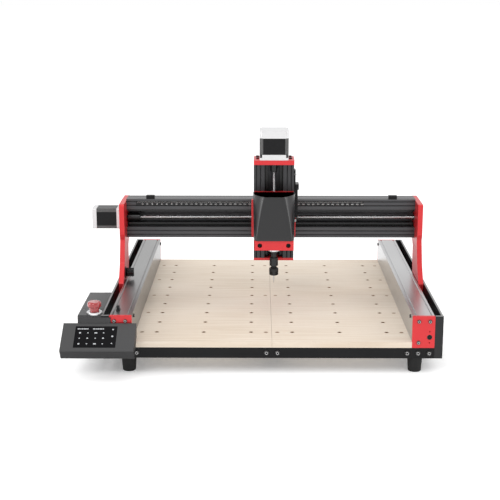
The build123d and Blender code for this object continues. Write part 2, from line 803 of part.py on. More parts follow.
def x_guides():
    """Steel guide rails on the floor and the roof of the beam's channel."""
    half = guide_height / 2
    y = beam_front + guide_depth
    return [block(-plate_inner, plate_inner, y - guide_width / 2, y + guide_width / 2, z - half, z + half)
            for z, depth in guide_places(beam_centre)]


def stop_blocks():
    """Two small blocks on the beam's top front edge, at the ends of the X travel."""
    top = beam_bottom + beam_height
    back = beam_front + stop_block_depth
    return [block(x, x + stop_block_width, beam_front, back, top, top + stop_block_height)
            for x in stop_block_places]


def ruler_strip():
    """The graduated strip on the beam's front face."""
    return block(ruler_start, ruler_end, beam_front - ruler_thickness, beam_front, ruler_low, ruler_high)


def x_motor_plane():
    """The mounting plane of the X motor on the left side plate."""
    return Plane(origin=(-plate_outer, x_screw_y, beam_centre), x_dir=(0, 1, 0), z_dir=(-1, 0, 0))


def x_motor_bells():
    """Flange and cap of the X motor."""
    parts = motor_bells(small_motor_size, small_motor_flange, small_motor_stack, small_motor_cap)
    return [x_motor_plane() * part for part in parts]


def x_motor_stack():
    """Stack of the X motor."""
    return x_motor_plane() * motor_stack(small_motor_size, small_motor_flange, small_motor_stack)


def x_coupler_end():
    """The inner end of the X coupler."""
    return -plate_inner + 1 + coupler_length


def x_lead_screw():
    """The lead screw along the beam."""
    return rod(screw_radius, (x_coupler_end() - coupler_grip + shaft_gap, x_screw_y, beam_centre),
               (plate_inner + bearing_width, x_screw_y, beam_centre))


def x_coupler():
    """The coupler between the X motor and the lead screw."""
    place = Plane(origin=(x_coupler_end(), x_screw_y, beam_centre), z_dir=(-1, 0, 0))
    return place * coupler(small_coupler_radius, coupler_length, screw_radius, motor_shaft_radius)


def x_motor_shaft():
    """The shaft of the X motor."""
    return rod(motor_shaft_radius, (-plate_outer - small_motor_flange - shaft_depth, x_screw_y, beam_centre),
               (x_coupler_end() - coupler_length + coupler_grip - shaft_gap, x_screw_y, beam_centre))


def x_screw_bearing():
    """The bearing of the X screw in the right side plate."""
    return ring_bearing((plate_inner, x_screw_y, beam_centre), (1, 0, 0))


def y_slider(sign):
    """The block that carries one side plate along the guide under its side rail."""
    start, end = y_slider_centre - slider_length / 2, y_slider_centre + slider_length / 2
    high = rail_top - rail_module - slider_gap
    body = block(half_width + rail_module + slider_gap, plate_inner, start, end, y_slider_bottom, high)
    guide_x, half = half_width + rail_module * 1.5, guide_width / 2 + guide_gap
    groove_floor = high - guide_height - guide_gap + slider_gap
    body -= block(guide_x - half, guide_x + half, start, end, groove_floor, high)
    body = mirrored(body, sign)
    x, z = sign * y_screw_x, y_screw_z
    body -= rod(screw_radius + 1, (x, start, z), (x, end, z))
    body -= rod(nut_radius + press_fit, (x, start, z), (x, start + nut_length, z))
    for place, direction in gantry_bolt_places(sign)[4:]:
        body -= bolt_hole(place, direction, gantry_bolt)
    return body


def y_sliders():
    """Both Y sliders, each with its brass nut pressed in."""
    start = y_slider_centre - slider_length / 2
    nuts = [nut((s * y_screw_x, start, y_screw_z), (0, 1, 0)) for s in (-1, 1)]
    return [y_slider(s) for s in (-1, 1)] + nuts


def nut(start, direction):
    """A round brass nut with a running clearance round its screw."""
    end = Vector(*start) + Vector(*direction) * nut_length
    return rod(nut_radius, start, end) - rod(screw_radius + screw_fit, start, end)


# --- X carriage and Z profile -------------------------------------------------------------

z_left = carriage_x - z_profile_width / 2
z_right = carriage_x + z_profile_width / 2


def x_carriage_plate():
    """The red plate between the slider and the Z profile."""
    half = carriage_plate_width / 2
    plate = block(carriage_x - half, carriage_x + half, z_back, z_back + carriage_plate_thickness,
                  carriage_plate_low, carriage_plate_high)
    return fillet(plate.edges().filter_by(Axis.Y), 3.0)


def x_slider():
    """The block that carries the X carriage along the beam's guide rods."""
    start = carriage_x - slider_length / 2
    origin = (start, beam_front, beam_centre)
    section = Plane(origin=origin, x_dir=(0, 0, -1), z_dir=(1, 0, 0)) * slider_section(carriage_gap)
    body = extrude(section, slider_length)
    near, far = (start, x_screw_y, beam_centre), (start + slider_length, x_screw_y, beam_centre)
    body -= rod(screw_radius + 1, near, far)
    return body - rod(nut_radius + press_fit, near, (start + nut_length, x_screw_y, beam_centre))


def x_nut():
    """The brass nut of the X screw."""
    return nut((carriage_x - slider_length / 2, x_screw_y, beam_centre), (1, 0, 0))


def z_profile():
    """The upright channel profile, its mouth towards the operator."""
    origin = (carriage_x, z_front, z_profile_bottom)
    section = Plane(origin=origin, x_dir=(1, 0, 0), z_dir=(0, 0, 1)) * channel_section(
        z_profile_width, z_profile_depth)
    profile = extrude(section, z_profile_top - z_profile_bottom)
    for screw in top_plate_screw_places():
        profile -= bolt_hole(*screw)
    return profile


def z_top_plate():
    """The red plate that carries the Z motor."""
    top = z_profile_top + z_top_plate_thickness
    plate = block(z_left, z_right, z_back - z_top_plate_depth, z_back, z_profile_top, top)
    plate = fillet(plate.edges().filter_by(Axis.Z), 2.0)
    for screw in z_motor_screw_places() + top_plate_screw_places():
        plate -= bolt_hole(*screw)
    return plate - post(large_coupler_radius + shaft_clearance, carriage_x, z_screw_y, z_profile_top, top)


def z_bottom_plate():
    """The red plate under the Z profile, bored as a bearing for the Z screw's lower end."""
    low = z_profile_bottom - z_bottom_plate_thickness
    plate = block(z_left, z_right, z_front, z_back, low, z_profile_bottom)
    bore = post(screw_radius + screw_fit, carriage_x, z_screw_y, low, z_profile_bottom)
    return plate - bore


def z_guides():
    """Steel guide rails on the side walls of the Z profile's channel."""
    half = guide_height / 2
    y = z_front + guide_depth
    front, back = y - guide_width / 2, y + guide_width / 2
    return [block(x - half, x + half, front, back, z_profile_bottom, z_profile_top)
            for x, depth in guide_places(carriage_x)]


def z_motor_place():
    """The mounting place of the Z motor on the top plate."""
    return Pos(carriage_x, z_screw_y, z_profile_top + z_top_plate_thickness)


def z_motor_notches():
    """The four round notches down the Z motor's corners, which leave room for its mounting screws."""
    half, top = large_motor_size / 2, large_motor_flange + large_motor_stack + large_motor_cap
    return [z_motor_place() * post(large_motor_notch, sx * half, sy * half, large_motor_plate, top)
            for sx in (-1, 1) for sy in (-1, 1)]


def z_motor_bells():
    """Flange and cap of the Z motor."""
    parts = motor_bells(large_motor_size, large_motor_flange, large_motor_stack, large_motor_cap)
    flange, cap = [z_motor_place() * part - z_motor_notches() for part in parts]
    for (x, y, z), direction, sizes in z_motor_screw_places():
        flange -= post(sizes[1] + hole_clearance, x, y, z, z + large_motor_flange)
        flange -= bolt_hole((x, y, z), direction, sizes)
    return [flange, cap]


def z_motor_stack():
    """Stack of the Z motor."""
    stack = motor_stack(large_motor_size, large_motor_flange, large_motor_stack)
    return z_motor_place() * stack - z_motor_notches()


motor_bolt = (bolt_radius, bolt_head_radius - 0.5, large_motor_flange - large_motor_plate,
              large_motor_plate + z_top_plate_thickness - 1)
top_bolt = (small_radius, small_head_radius, small_head_height, z_top_plate_thickness + small_length)


def z_motor_screw_places():
    """The four screws that hold the Z motor down."""
    half, top = large_motor_bolt_spacing / 2, z_profile_top + z_top_plate_thickness
    return [((carriage_x + sx * half, z_screw_y + sy * half, top + large_motor_plate), (0, 0, -1), motor_bolt)
            for sx in (-1, 1) for sy in (-1, 1)]


def top_plate_screw_places():
    """The four screws that hold the top plate to the Z profile's side walls."""
    top, across = z_profile_top + z_top_plate_thickness, z_profile_width / 2 - top_screw_inset
    depths = (z_front + top_screw_inset, z_back - top_screw_inset)
    return [((carriage_x + s * across, y, top), (0, 0, -1), top_bolt) for s in (-1, 1) for y in depths]


def z_top_screws():
    """The black screws of the Z motor and of the plate under it."""
    return [bolt(*screw) for screw in z_motor_screw_places() + top_plate_screw_places()]


def z_coupler_bottom():
    """The lower end of the Z coupler."""
    return z_profile_top + z_top_plate_thickness - shaft_gap - coupler_length


def z_lead_screw():
    """The upright lead screw."""
    low, high = z_profile_bottom - z_bottom_plate_thickness, z_coupler_bottom() + coupler_grip - shaft_gap
    return post(screw_radius, carriage_x, z_screw_y, low, high)


def z_coupler():
    """The coupler between the Z motor and the lead screw."""
    return Pos(carriage_x, z_screw_y, z_coupler_bottom()) * coupler(
        large_coupler_radius, coupler_length, screw_radius, motor_shaft_radius)


def z_motor_shaft():
    """The shaft of the Z motor."""
    start = z_coupler_bottom() + coupler_length - coupler_grip + shaft_gap
    top = z_profile_top + z_top_plate_thickness + large_motor_flange + shaft_depth
    return post(motor_shaft_radius, carriage_x, z_screw_y, start, top)


def connector_bracket():
    """The black strip on the right of the Z profile that carries the spindle's plug."""
    front = z_front + bracket_inset
    back, face = front + bracket_depth, z_right + bracket_thickness
    bar = block(z_right, face, front, back, bracket_low, bracket_high)
    bar += block(face, face + socket_thickness, front, back, socket_low, socket_high)
    front, back = front - plug_margin, back + plug_margin
    return bar + block(face, face + plug_thickness, front, back, socket_high, plug_top)


# --- Spindle carriage ---------------------------------------------------------------------

def z_slider():
    """The block that carries the spindle along the Z profile's guide rods."""
    low = z_slider_centre - slider_length / 2
    origin = (carriage_x, z_front, low)
    section = Plane(origin=origin, x_dir=(1, 0, 0), z_dir=(0, 0, 1)) * slider_section(spindle_plate_gap)
    body = extrude(section, slider_length)
    body -= post(screw_radius + 1, carriage_x, z_screw_y, low, low + slider_length)
    return body - post(nut_radius + press_fit, carriage_x, z_screw_y, low, low + nut_length)


def z_nut():
    """The brass nut of the Z screw."""
    return nut((carriage_x, z_screw_y, z_slider_centre - slider_length / 2), (0, 0, 1))


def spindle_plate():
    """The red plate that the clamp and the cover are screwed to."""
    half = spindle_plate_width / 2
    return block(carriage_x - half, carriage_x + half, spindle_plate_front, spindle_plate_back, clamp_bottom,
                 spindle_plate_top)


def clamp_bolt_places():
    """The two clamp bolts, entering from the front."""
    z = (clamp_bottom + clamp_top) / 2
    y = spindle_y - clamp_front + clamp_bolt_sink
    return [(carriage_x + s * clamp_bolt_spacing / 2, y, z) for s in (-1, 1)]


clamp_bolt = (bolt_radius, clamp_head_radius, clamp_head_height, clamp_bolt_length)


def clamp_half(y0, y1):
    """One half of the spindle clamp between two depths."""
    half = clamp_width / 2
    body = block(carriage_x - half, carriage_x + half, y0, y1, clamp_bottom, clamp_top)
    body -= post(motor_radius + clamp_fit, carriage_x, spindle_y, clamp_bottom, clamp_top)
    for x, y, z in clamp_bolt_places():
        body -= rod(bolt_radius + hole_clearance, (x, y, z), (x, y + clamp_bolt[3] + 1, z))
        body -= rod(clamp_bolt[1] + hole_clearance, (x, y - clamp_bolt_sink, z), (x, y, z))
    return body


def clamp_front_half():
    """The front half of the spindle clamp, with two counterbored holes."""
    return clamp_half(spindle_y - clamp_front, spindle_y - clamp_split / 2)


def clamp_rear_half():
    """The rear half of the spindle clamp, fixed to the spindle plate."""
    return clamp_half(spindle_y + clamp_split / 2, spindle_plate_front)


def clamp_bolts():
    """The clamp's two socket bolts."""
    return [bolt(p, (0, 1, 0), clamp_bolt) for p in clamp_bolt_places()]


def cover_outline(z, flat, front, inset):
    """The cover's outline at one height: a thin back, sides, shoulders and a flat front."""
    half, y_back = cover_width / 2 - inset, spindle_plate_front - inset / 2
    shoulder, y_front = spindle_y - cover_shoulder, spindle_y - front + inset
    flat_half = flat / 2 - inset * 0.4
    points = [(-half, y_back), (-half, shoulder), (-flat_half, y_front), (flat_half, y_front),
              (half, shoulder), (half, y_back)]
    return Pos(carriage_x, 0, z) * make_face(Polyline(*points, close=True))


def spindle_cover():
    """The black cover round the spindle motor, open at the top and the bottom."""
    low, high = clamp_top, spindle_plate_top
    outer = loft([cover_outline(low, cover_flat_low, cover_front_low, 0),
                  cover_outline(high, cover_flat_high, cover_front_high, 0)], ruled=True)
    inner = loft([cover_outline(low, cover_flat_low, cover_front_low, cover_wall),
                  cover_outline(high, cover_flat_high, cover_front_high, cover_wall)], ruled=True)
    return outer - inner


def spindle_motor():
    """The round spindle motor with its nose."""
    body = post(motor_radius, carriage_x, spindle_y, motor_bottom, motor_top)
    body += post(nose_radius, carriage_x, spindle_y, nose_bottom, motor_bottom)
    return body - post(motor_shaft_radius + spindle_shaft_fit, carriage_x, spindle_y, nose_bottom, motor_top)


def spindle_shaft():
    """The motor's shaft, with its lower end in the tool holder."""
    return post(motor_shaft_radius, carriage_x, spindle_y, hex_bottom + shaft_seat, motor_top + 2)


def tool_holder():
    """The holder on the motor's shaft, with a hexagon for the spanner."""
    body = post(holder_radius, carriage_x, spindle_y, nut_top - holder_overlap, holder_top)
    hexagon = Pos(carriage_x, spindle_y, hex_bottom) * extrude(
        RegularPolygon(hex_across / 2, 6, major_radius=False), hex_top - hex_bottom)
    body += hexagon
    body -= post(motor_shaft_radius + press_fit, carriage_x, spindle_y, hex_bottom + shaft_seat, holder_top)
    return body - post(cutter_shank + press_fit, carriage_x, spindle_y, nut_top - holder_overlap,
                       hex_bottom + shank_seat)


def collet_nut():
    """The clamping nut of the collet."""
    body = post(collet_nut_radius, carriage_x, spindle_y, nut_bottom, nut_top)
    body = chamfer(body.edges().group_by(Axis.Z)[-1], 2.0)
    body = chamfer(body.edges().group_by(Axis.Z)[0], 1.5)
    body -= post(holder_radius + press_fit, carriage_x, spindle_y, nut_top - holder_overlap, nut_top)
    notch = Pos(collet_nut_radius, 0, 0) * Box(2 * nut_notch_depth, nut_notch_width, nut_notch_height)
    for k in range(6):
        body -= Pos(carriage_x, spindle_y, nut_bottom + nut_notch_height / 2) * Rot(0, 0, 60 * k) * notch
    return body - post(cutter_shank + press_fit, carriage_x, spindle_y, nut_bottom, nut_top)


def cutter():
    """A straight-shank engraving bit with a pointed tip."""
    shank = post(cutter_shank, carriage_x, spindle_y, cutter_tip + cutter_point_length, cutter_top)
    tip = Pos(carriage_x, spindle_y, cutter_tip + cutter_point_length / 2) * Cone(
        cutter_point_radius, cutter_shank, cutter_point_length)
    return shank + tip


# --- Nodes --------------------------------------------------------------------------------

nodes = {
    "feet": feet(),
    "cross_beams": cross_beams(),
    "under_profiles": under_profiles(),
    "cross_beam_bolts": cross_beam_bolts(),
    "board_inserts": board_inserts(),
    "board_screws": board_screws(),
    "end_plates": end_plates(),
    "end_plate_screws": end_plate_screws(),
    "y_guides": y_guides(),
    "y_screw_bearings": y_screw_bearings(),
    "y_motors": y_motors(),
    "y_sliders": y_sliders(),
    "rail_covers": rail_covers(),
    "control_box_base": [control_box_base()],
    "control_box_lid": [control_box_lid()],
    "power_rocker": [power_rocker()],
    "estop_base": [estop_base()],
    "estop_knob": [estop_knob()],
    "screen_case": [screen_case()],
    "display_panel": [display_panel()],
    "x_beam": [x_beam()],
    "gantry_bolts": gantry_bolts(),
    "x_guides": x_guides(),
    "stop_blocks": stop_blocks(),
    "ruler_strip": [ruler_strip()],
    "x_motor_bells": x_motor_bells(),
    "x_motor_stack": [x_motor_stack()],
    "x_screw_bearing": [x_screw_bearing()],
    "x_lead_screw": [x_lead_screw()],
    "x_coupler": [x_coupler(), x_motor_shaft()],
    "x_carriage_plate": [x_carriage_plate()],
    "x_slider": [x_slider(), x_nut()],
    "z_profile": [z_profile()],
    "z_end_plates": [z_top_plate(), z_bottom_plate()],
    "z_guides": z_guides(),
    "z_motor_bells": z_motor_bells(),
    "z_motor_stack": [z_motor_stack()],
    "z_top_screws": z_top_screws(),
    "connector_bracket": [connector_bracket()],
    "z_lead_screw": [z_lead_screw()],
    "z_coupler": [z_coupler(), z_motor_shaft()],
    "z_slider": [z_slider(), z_nut()],
    "spindle_plate": [spindle_plate()],
    "clamp_front_half": [clamp_front_half()],
    "clamp_rear_half": [clamp_rear_half()],
    "clamp_bolts": clamp_bolts(),
    "spindle_cover": [spindle_cover()],
    "spindle_motor": [spindle_motor()],
    "spindle_shaft": [spindle_shaft()],
    "tool_holder": [tool_holder()],
    "collet_nut": [collet_nut()],
    "cutter": [cutter()],
}
for side, sign in side_signs.items():
    nodes[f"spoilboard_{side}"] = [spoilboard(sign)]
    nodes[f"y_rail_{side}"] = [y_rail(sign)]
    nodes[f"gantry_plate_{side}"] = [gantry_plate(sign)]
    nodes[f"y_lead_screw_{side}"] = y_lead_screw(sign)

os.makedirs("parts", exist_ok=True)
for name, solids in nodes.items():
    export_step(Compound(children=list(solids)) if len(solids) > 1 else solids[0], f"parts/{name}.step")
print(len(nodes), "nodes")
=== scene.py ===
from math import cos, pi, radians, sin

import bmesh
import bpy
import numpy as np
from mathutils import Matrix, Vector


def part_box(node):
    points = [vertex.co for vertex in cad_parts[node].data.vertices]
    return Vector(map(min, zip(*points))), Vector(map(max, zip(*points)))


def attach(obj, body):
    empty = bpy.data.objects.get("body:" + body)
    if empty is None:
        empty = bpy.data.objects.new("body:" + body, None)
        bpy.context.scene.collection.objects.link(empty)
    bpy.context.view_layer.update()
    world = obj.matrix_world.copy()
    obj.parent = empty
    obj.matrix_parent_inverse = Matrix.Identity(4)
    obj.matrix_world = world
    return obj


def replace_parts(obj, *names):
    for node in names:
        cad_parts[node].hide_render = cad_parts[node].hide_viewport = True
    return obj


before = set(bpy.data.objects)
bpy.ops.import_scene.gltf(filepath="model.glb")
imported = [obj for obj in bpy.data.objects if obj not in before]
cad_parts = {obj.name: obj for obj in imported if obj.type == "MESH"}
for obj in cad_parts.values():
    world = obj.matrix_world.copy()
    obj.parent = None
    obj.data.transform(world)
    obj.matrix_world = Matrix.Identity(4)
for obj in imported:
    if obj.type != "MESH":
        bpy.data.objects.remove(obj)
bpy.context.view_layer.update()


# --- Studio -------------------------------------------------------------------------------
# A plain white floor, a soft sky and four broad lamps, with the camera in front of the
# machine at standing height.

class Wire:
    """A shader output. Sums and products of wires add Math nodes, and node() adds any other node."""

    def __init__(self, tree, socket=None):
        self.tree, self.socket = tree, socket

    def node(self, kind, settings, inputs, output=0):
        """Adds a node: its settings first (ramp stops too), then its sockets' values or links."""
        made = self.tree.nodes.new("ShaderNode" + kind)
        for key, value in settings.items():
            if key == "stops":
                ends = made.color_ramp.elements
                ends[0].position, ends[1].position = value[0][0], value[-1][0]
                for at, colour in value[1:-1]:
                    ends.new(at)
                for element, (at, colour) in zip(ends, value):
                    element.color = (*colour, 1)
            else:
                setattr(made, key, value)
        for key, value in inputs.items():
            if isinstance(value, Wire):
                self.tree.links.new(value.socket, made.inputs[key])
            else:
                made.inputs[key].default_value = value
        return Wire(self.tree, made.outputs[output])

    def math(self, operation, first, second=0.0):
        """A Math node on two wires or numbers."""
        return self.node("Math", {"operation": operation}, {0: first, 1: second})

    def __add__(self, other):
        return self.math("ADD", self, other)

    def __sub__(self, other):
        return self.math("SUBTRACT", self, other)

    def __mul__(self, other):
        return self.math("MULTIPLY", self, other)

    def __rsub__(self, other):
        return self.math("SUBTRACT", other, self)

    __radd__, __rmul__ = __add__, __mul__


def finish(name, build, **uniform):
    """A material: uniform values go straight onto the shader, and build() gives what varies."""
    material = bpy.data.materials.new(name)
    material.use_nodes = True
    tree = material.node_tree
    shader = tree.nodes["Principled BSDF"]
    for key, value in uniform.items():
        shader.inputs[key.replace("_", " ")].default_value = value
    for key, wire in build(Wire(tree)).items():
        tree.links.new(wire.socket, shader.inputs[key])
    return material


def grain(wire, stretch, detail=3.0):
    """Noise on object coordinates, with its own number of cells per metre along each axis."""
    place = wire.node("TexCoord", {}, {}, "Object")
    place = wire.node("Mapping", {}, {"Vector": place, "Scale": stretch})
    return wire.node("TexNoise", {}, {"Vector": place, "Scale": 1.0, "Detail": detail, "Roughness": 0.55})


def blend(wire, factor, first, second):
    """A colour that goes from the first to the second as the factor goes from 0 to 1."""
    first, second = [colour if isinstance(colour, Wire) else (*colour, 1) for colour in (first, second)]
    return wire.node("Mix", {"data_type": "RGBA"}, {0: factor, 6: first, 7: second}, 2)


def floor_look(wire):
    """White card with a faint mottle and a little glow, which keeps the shadows soft."""
    mottle = grain(wire, (3, 3, 3))
    return {"Base Color": blend(wire, mottle, (0.90, 0.90, 0.90), (0.94, 0.94, 0.94)),
            "Emission Color": blend(wire, mottle, (0.95, 0.95, 0.95), (1.0, 1.0, 1.0))}


floor_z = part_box("feet")[0].z
floor_reach = 30.0
floor_mesh = bpy.data.meshes.new("studio_floor")
floor_sides = ((-1, -1), (1, -1), (1, 1), (-1, 1))
floor_corners = [(x * floor_reach, y * floor_reach, floor_z) for x, y in floor_sides]
floor_mesh.from_pydata(floor_corners, [], [(0, 1, 2, 3)])
studio_floor = bpy.data.objects.new("studio_floor", floor_mesh)
bpy.context.scene.collection.objects.link(studio_floor)
floor_mesh.materials.append(finish("floor_white", floor_look, Roughness=0.9, Emission_Strength=0.22))

world = bpy.data.worlds.new("studio_sky")
bpy.context.scene.world = world
world.use_nodes = True
sky = world.node_tree.nodes["Background"].inputs
sky["Color"].default_value = (1, 1, 1, 1)
sky["Strength"].default_value = 1.0

# Each lamp's place, its turn in degrees, its width and height, and its power in watts.
lamps = {
    "left_strip": ((-1.7, -0.5, 0.75), (82, 0, -74), (0.5, 1.3), 11),
    "right_strip": ((1.7, -0.5, 0.75), (82, 0, 74), (0.5, 1.3), 9),
    "key_lamp": ((-0.9, -2.4, 2.2), (48, 0, -20), (1.0, 1.0), 16),
    "top_lamp": ((0.0, 0.6, 2.4), (-14, 0, 0), (1.6, 1.6), 9),
}
for name, (place, turn, size, power) in lamps.items():
    light = bpy.data.lights.new(name, "AREA")
    light.shape, light.energy = "RECTANGLE", power
    light.size, light.size_y = size
    lamp = bpy.data.objects.new(name, light)
    lamp.location = place
    lamp.rotation_euler = [radians(angle) for angle in turn]
    bpy.context.scene.collection.objects.link(lamp)

camera_data = bpy.data.cameras.new("camera")
camera_data.lens, camera_data.sensor_width = 80.64, 36.0
camera = bpy.data.objects.new("camera", camera_data)
camera.location = (-0.0244, -2.2551, floor_z + 0.6985)
camera.rotation_euler = (radians(76.488), 0, radians(0.459))
bpy.context.scene.collection.objects.link(camera)
bpy.context.scene.camera = camera
bpy.context.scene.view_settings.view_transform = "Standard"


# --- Bed ----------------------------------------------------------------------------------
# Two birch boards, sanded and unfinished, with the grain from side to side. Threaded brass
# inserts and countersunk screws sit flush in them.

mm = 0.001


def soft_edges(wire, radius, height=None, relief=0.0):
    """Rounds sharp edges a little, and adds a surface relief where there is one."""
    edge = wire.node("Bevel", {"samples": 3}, {"Radius": radius})
    if height is None:
        return edge
    return wire.node("Bump", {}, {"Strength": 1.0, "Distance": relief, "Height": height, "Normal": edge})


def dress(material, *names):
    """Gives CAD nodes a material."""
    for name in names:
        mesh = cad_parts[name].data
        mesh.materials.clear()
        mesh.materials.append(material)


birch_tones = [(0.3, (0.58, 0.475, 0.365)), (0.5, (0.675, 0.585, 0.485)), (0.72, (0.73, 0.655, 0.565))]
pore_brown = (0.34, 0.24, 0.16)


def birch_look(wire):
    """Long pale streaks, fine dark pores along them and a broad drift in tone."""
    streaks = grain(wire, (6, 150, 60), 4.0)
    drift = grain(wire, (2.2, 5, 5), 2.0)
    pores = grain(wire, (60, 1500, 800), 2.0)
    colour = wire.node("ValToRGB", {"stops": birch_tones}, {"Fac": streaks * 0.55 + drift * 0.45})
    speck = wire.math("GREATER_THAN", pores, 0.66) * 0.16
    return {"Base Color": blend(wire, speck, colour, pore_brown), "Roughness": 0.62 + streaks * 0.12,
            "Normal": soft_edges(wire, 0.5 * mm, pores, 0.08 * mm)}


def brass_look(wire):
    """Brass gone brown, in patches of about 2 mm."""
    tarnish = grain(wire, (400, 400, 400))
    return {"Base Color": blend(wire, tarnish, (0.26, 0.16, 0.09), (0.42, 0.27, 0.16)),
            "Roughness": 0.3 + tarnish * 0.2}


dress(finish("birch", birch_look), "spoilboard_left", "spoilboard_right")
dress(finish("brass", brass_look, Metallic=0.9), "board_inserts", "board_screws")


# --- Frame bars and rail covers -----------------------------------------------------------
# Extruded aluminium with a black anodised skin that shows fine die lines along each bar.
# The covers' upward faces carry a painted highlight in a lighter grey.

def black_anodised(direction, tone=1.0):
    """Die lines run along one axis: the noise is coarse along it and fine across it. The tone scales the
    colour as painted light, lighter on lit bars and darker on shaded ones.
    """
    dark = [tone * shade for shade in (0.009, 0.009, 0.010)]
    light = [tone * shade for shade in (0.026, 0.026, 0.027)]
    stretch = [4.0 if axis == direction else 900.0 for axis in range(3)]

    def look(wire):
        lines = grain(wire, stretch, 2.0)
        cloud = grain(wire, (9, 9, 9), 2.0)
        return {"Base Color": blend(wire, cloud * 0.5 + lines * 0.5, dark, light),
                "Roughness": 0.26 + lines * 0.16, "Normal": soft_edges(wire, 0.4 * mm, lines, 0.03 * mm)}
    return look


def rail_cover_look(wire):
    """Die lines along Y, and a painted highlight in patchy grey where the surface faces up."""
    lines = grain(wire, (900, 4, 900), 2.0)
    patchy_sheen = grain(wire, (60, 12, 60), 3.0)
    upward = wire.node("SeparateXYZ", {}, {0: wire.node("NewGeometry", {}, {}, "Normal")}, "Z")
    # Painted highlight: faces that point up are lightened to a patchy grey.
    edge = wire.math("GREATER_THAN", upward, 0.7) * (0.7 + patchy_sheen * 0.3)
    side = blend(wire, lines, (0.008, 0.008, 0.009), (0.024, 0.024, 0.025))
    return {"Base Color": blend(wire, edge, side, (0.21, 0.21, 0.21)), "Roughness": 0.26 + lines * 0.16,
            "Normal": soft_edges(wire, 0.3 * mm, lines, 0.03 * mm)}


# The tones are painted light: the beam and Z profile are lightened, and the cross beams and bracket are
# darkened.
dress(finish("beam_skin", black_anodised(0, 3.8), Metallic=0.6, Specular_IOR_Level=0.5), "x_beam")
dress(finish("z_profile_skin", black_anodised(2, 2.6), Metallic=0.6, Specular_IOR_Level=0.5), "z_profile")
dress(finish("cross_beam_skin", black_anodised(0, 0.6), Metallic=0.5, Specular_IOR_Level=0.2),
      "cross_beams", "stop_blocks")
dress(finish("lower_profile_skin", black_anodised(1), Metallic=0.5, Specular_IOR_Level=0.3),
      "under_profiles")
dress(finish("bracket_skin", black_anodised(2, 0.7), Metallic=0.5, Specular_IOR_Level=0.2),
      "connector_bracket")
dress(finish("cover_skin", rail_cover_look, Metallic=0.4, Specular_IOR_Level=0.4), "rail_covers")


# --- Side rails and sliders ---------------------------------------------------------------
# Natural anodised aluminium, drawn through a die, so its lines run from front to back.

def aluminium(dark, light):
    """Die lines along Y over a broad drift in tone."""
    def look(wire):
        lines = grain(wire, (900, 3, 900), 2.0)
        cloud = grain(wire, (14, 5, 14), 2.0)
        return {"Base Color": blend(wire, lines * 0.5 + cloud * 0.5, dark, light),
                "Roughness": 0.24 + lines * 0.14, "Normal": soft_edges(wire, 0.4 * mm, lines, 0.03 * mm)}
    return look


# The two rails are one aluminium: the left is painted darker and the right lighter, as painted light.
left_rail = aluminium((0.20, 0.20, 0.20), (0.36, 0.36, 0.36))
right_rail = aluminium((0.40, 0.40, 0.405), (0.60, 0.60, 0.605))
slider = aluminium((0.32, 0.32, 0.325), (0.50, 0.50, 0.505))
dress(finish("left_rail_skin", left_rail, Metallic=1.0), "y_rail_left")
dress(finish("right_rail_skin", right_rail, Metallic=1.0), "y_rail_right")
dress(finish("slider_aluminium", slider, Metallic=1.0), "x_slider", "z_slider", "y_sliders")


# --- Red plates ---------------------------------------------------------------------------
# Machined aluminium plates, bead blasted and anodised red, screwed to the bars' ends.

def red_look(wire):
    """A fine blasted grain in the gloss and relief, and a broad drift in the colour."""
    blast = grain(wire, (1400, 1400, 1400), 2.0)
    cloud = grain(wire, (12, 12, 12), 2.0)
    return {"Base Color": blend(wire, cloud, (0.52, 0.012, 0.017), (0.62, 0.018, 0.023)),
            "Roughness": 0.34 + blast * 0.14, "Normal": soft_edges(wire, 0.5 * mm, blast, 0.04 * mm)}


dress(finish("red_anodised", red_look, Metallic=0.25, Coat_Weight=0.15), "end_plates", "gantry_plate_left",
      "gantry_plate_right", "x_carriage_plate", "z_end_plates", "spindle_plate", "clamp_front_half",
      "clamp_rear_half")


# --- Steel and fasteners ------------------------------------------------------------------
# Bright steel guides and shafts, and blackened steel screws, couplers and collet nut. The heads that a key
# turns carry a painted highlight round their rims.

# Painted shade: the near black that sockets and corners are darkened to.
socket_shade_black = (0.008, 0.008, 0.008)


def openness(wire, reach, power):
    """How open the surface is, from 0 deep in a socket or a corner to 1 in the open."""
    open_part = wire.node("AmbientOcclusion", {"samples": 8}, {"Distance": reach}, "AO")
    return wire.math("POWER", open_part, power)


def turned_steel(dark, light, reach=3 * mm, power=2.0):
    """Turned steel, with painted shade darkening its sockets and corners."""
    def look(wire):
        turning = grain(wire, (700, 700, 700), 2.0)
        metal = blend(wire, turning, dark, light)
        return {"Base Color": blend(wire, openness(wire, reach, power), socket_shade_black, metal),
                "Roughness": 0.20 + turning * 0.16, "Normal": soft_edges(wire, 0.3 * mm)}
    return look


def rim_highlight_head(wire):
    """Black with a painted highlight where rounding the edges would turn the surface, a millimetre from a
    rim, and painted shade in the socket.
    """
    turning = grain(wire, (700, 700, 700), 2.0)
    rounded = wire.node("Bevel", {"samples": 8}, {"Radius": 1.1 * mm})
    flat = wire.node("NewGeometry", {}, {}, "Normal")
    turn = 1.0 - wire.node("VectorMath", {"operation": "DOT_PRODUCT"}, {0: rounded, 1: flat}, "Value")
    # Painted highlight round the rim.
    rim_highlight = wire.node("Math", {"operation": "MULTIPLY", "use_clamp": True}, {0: turn, 1: 40.0})
    metal = blend(wire, rim_highlight, (0.012, 0.012, 0.012), (0.80, 0.80, 0.80))
    return {"Base Color": blend(wire, openness(wire, 3 * mm, 3.0), socket_shade_black, metal),
            "Roughness": 0.22 + turning * 0.16, "Normal": soft_edges(wire, 0.3 * mm)}


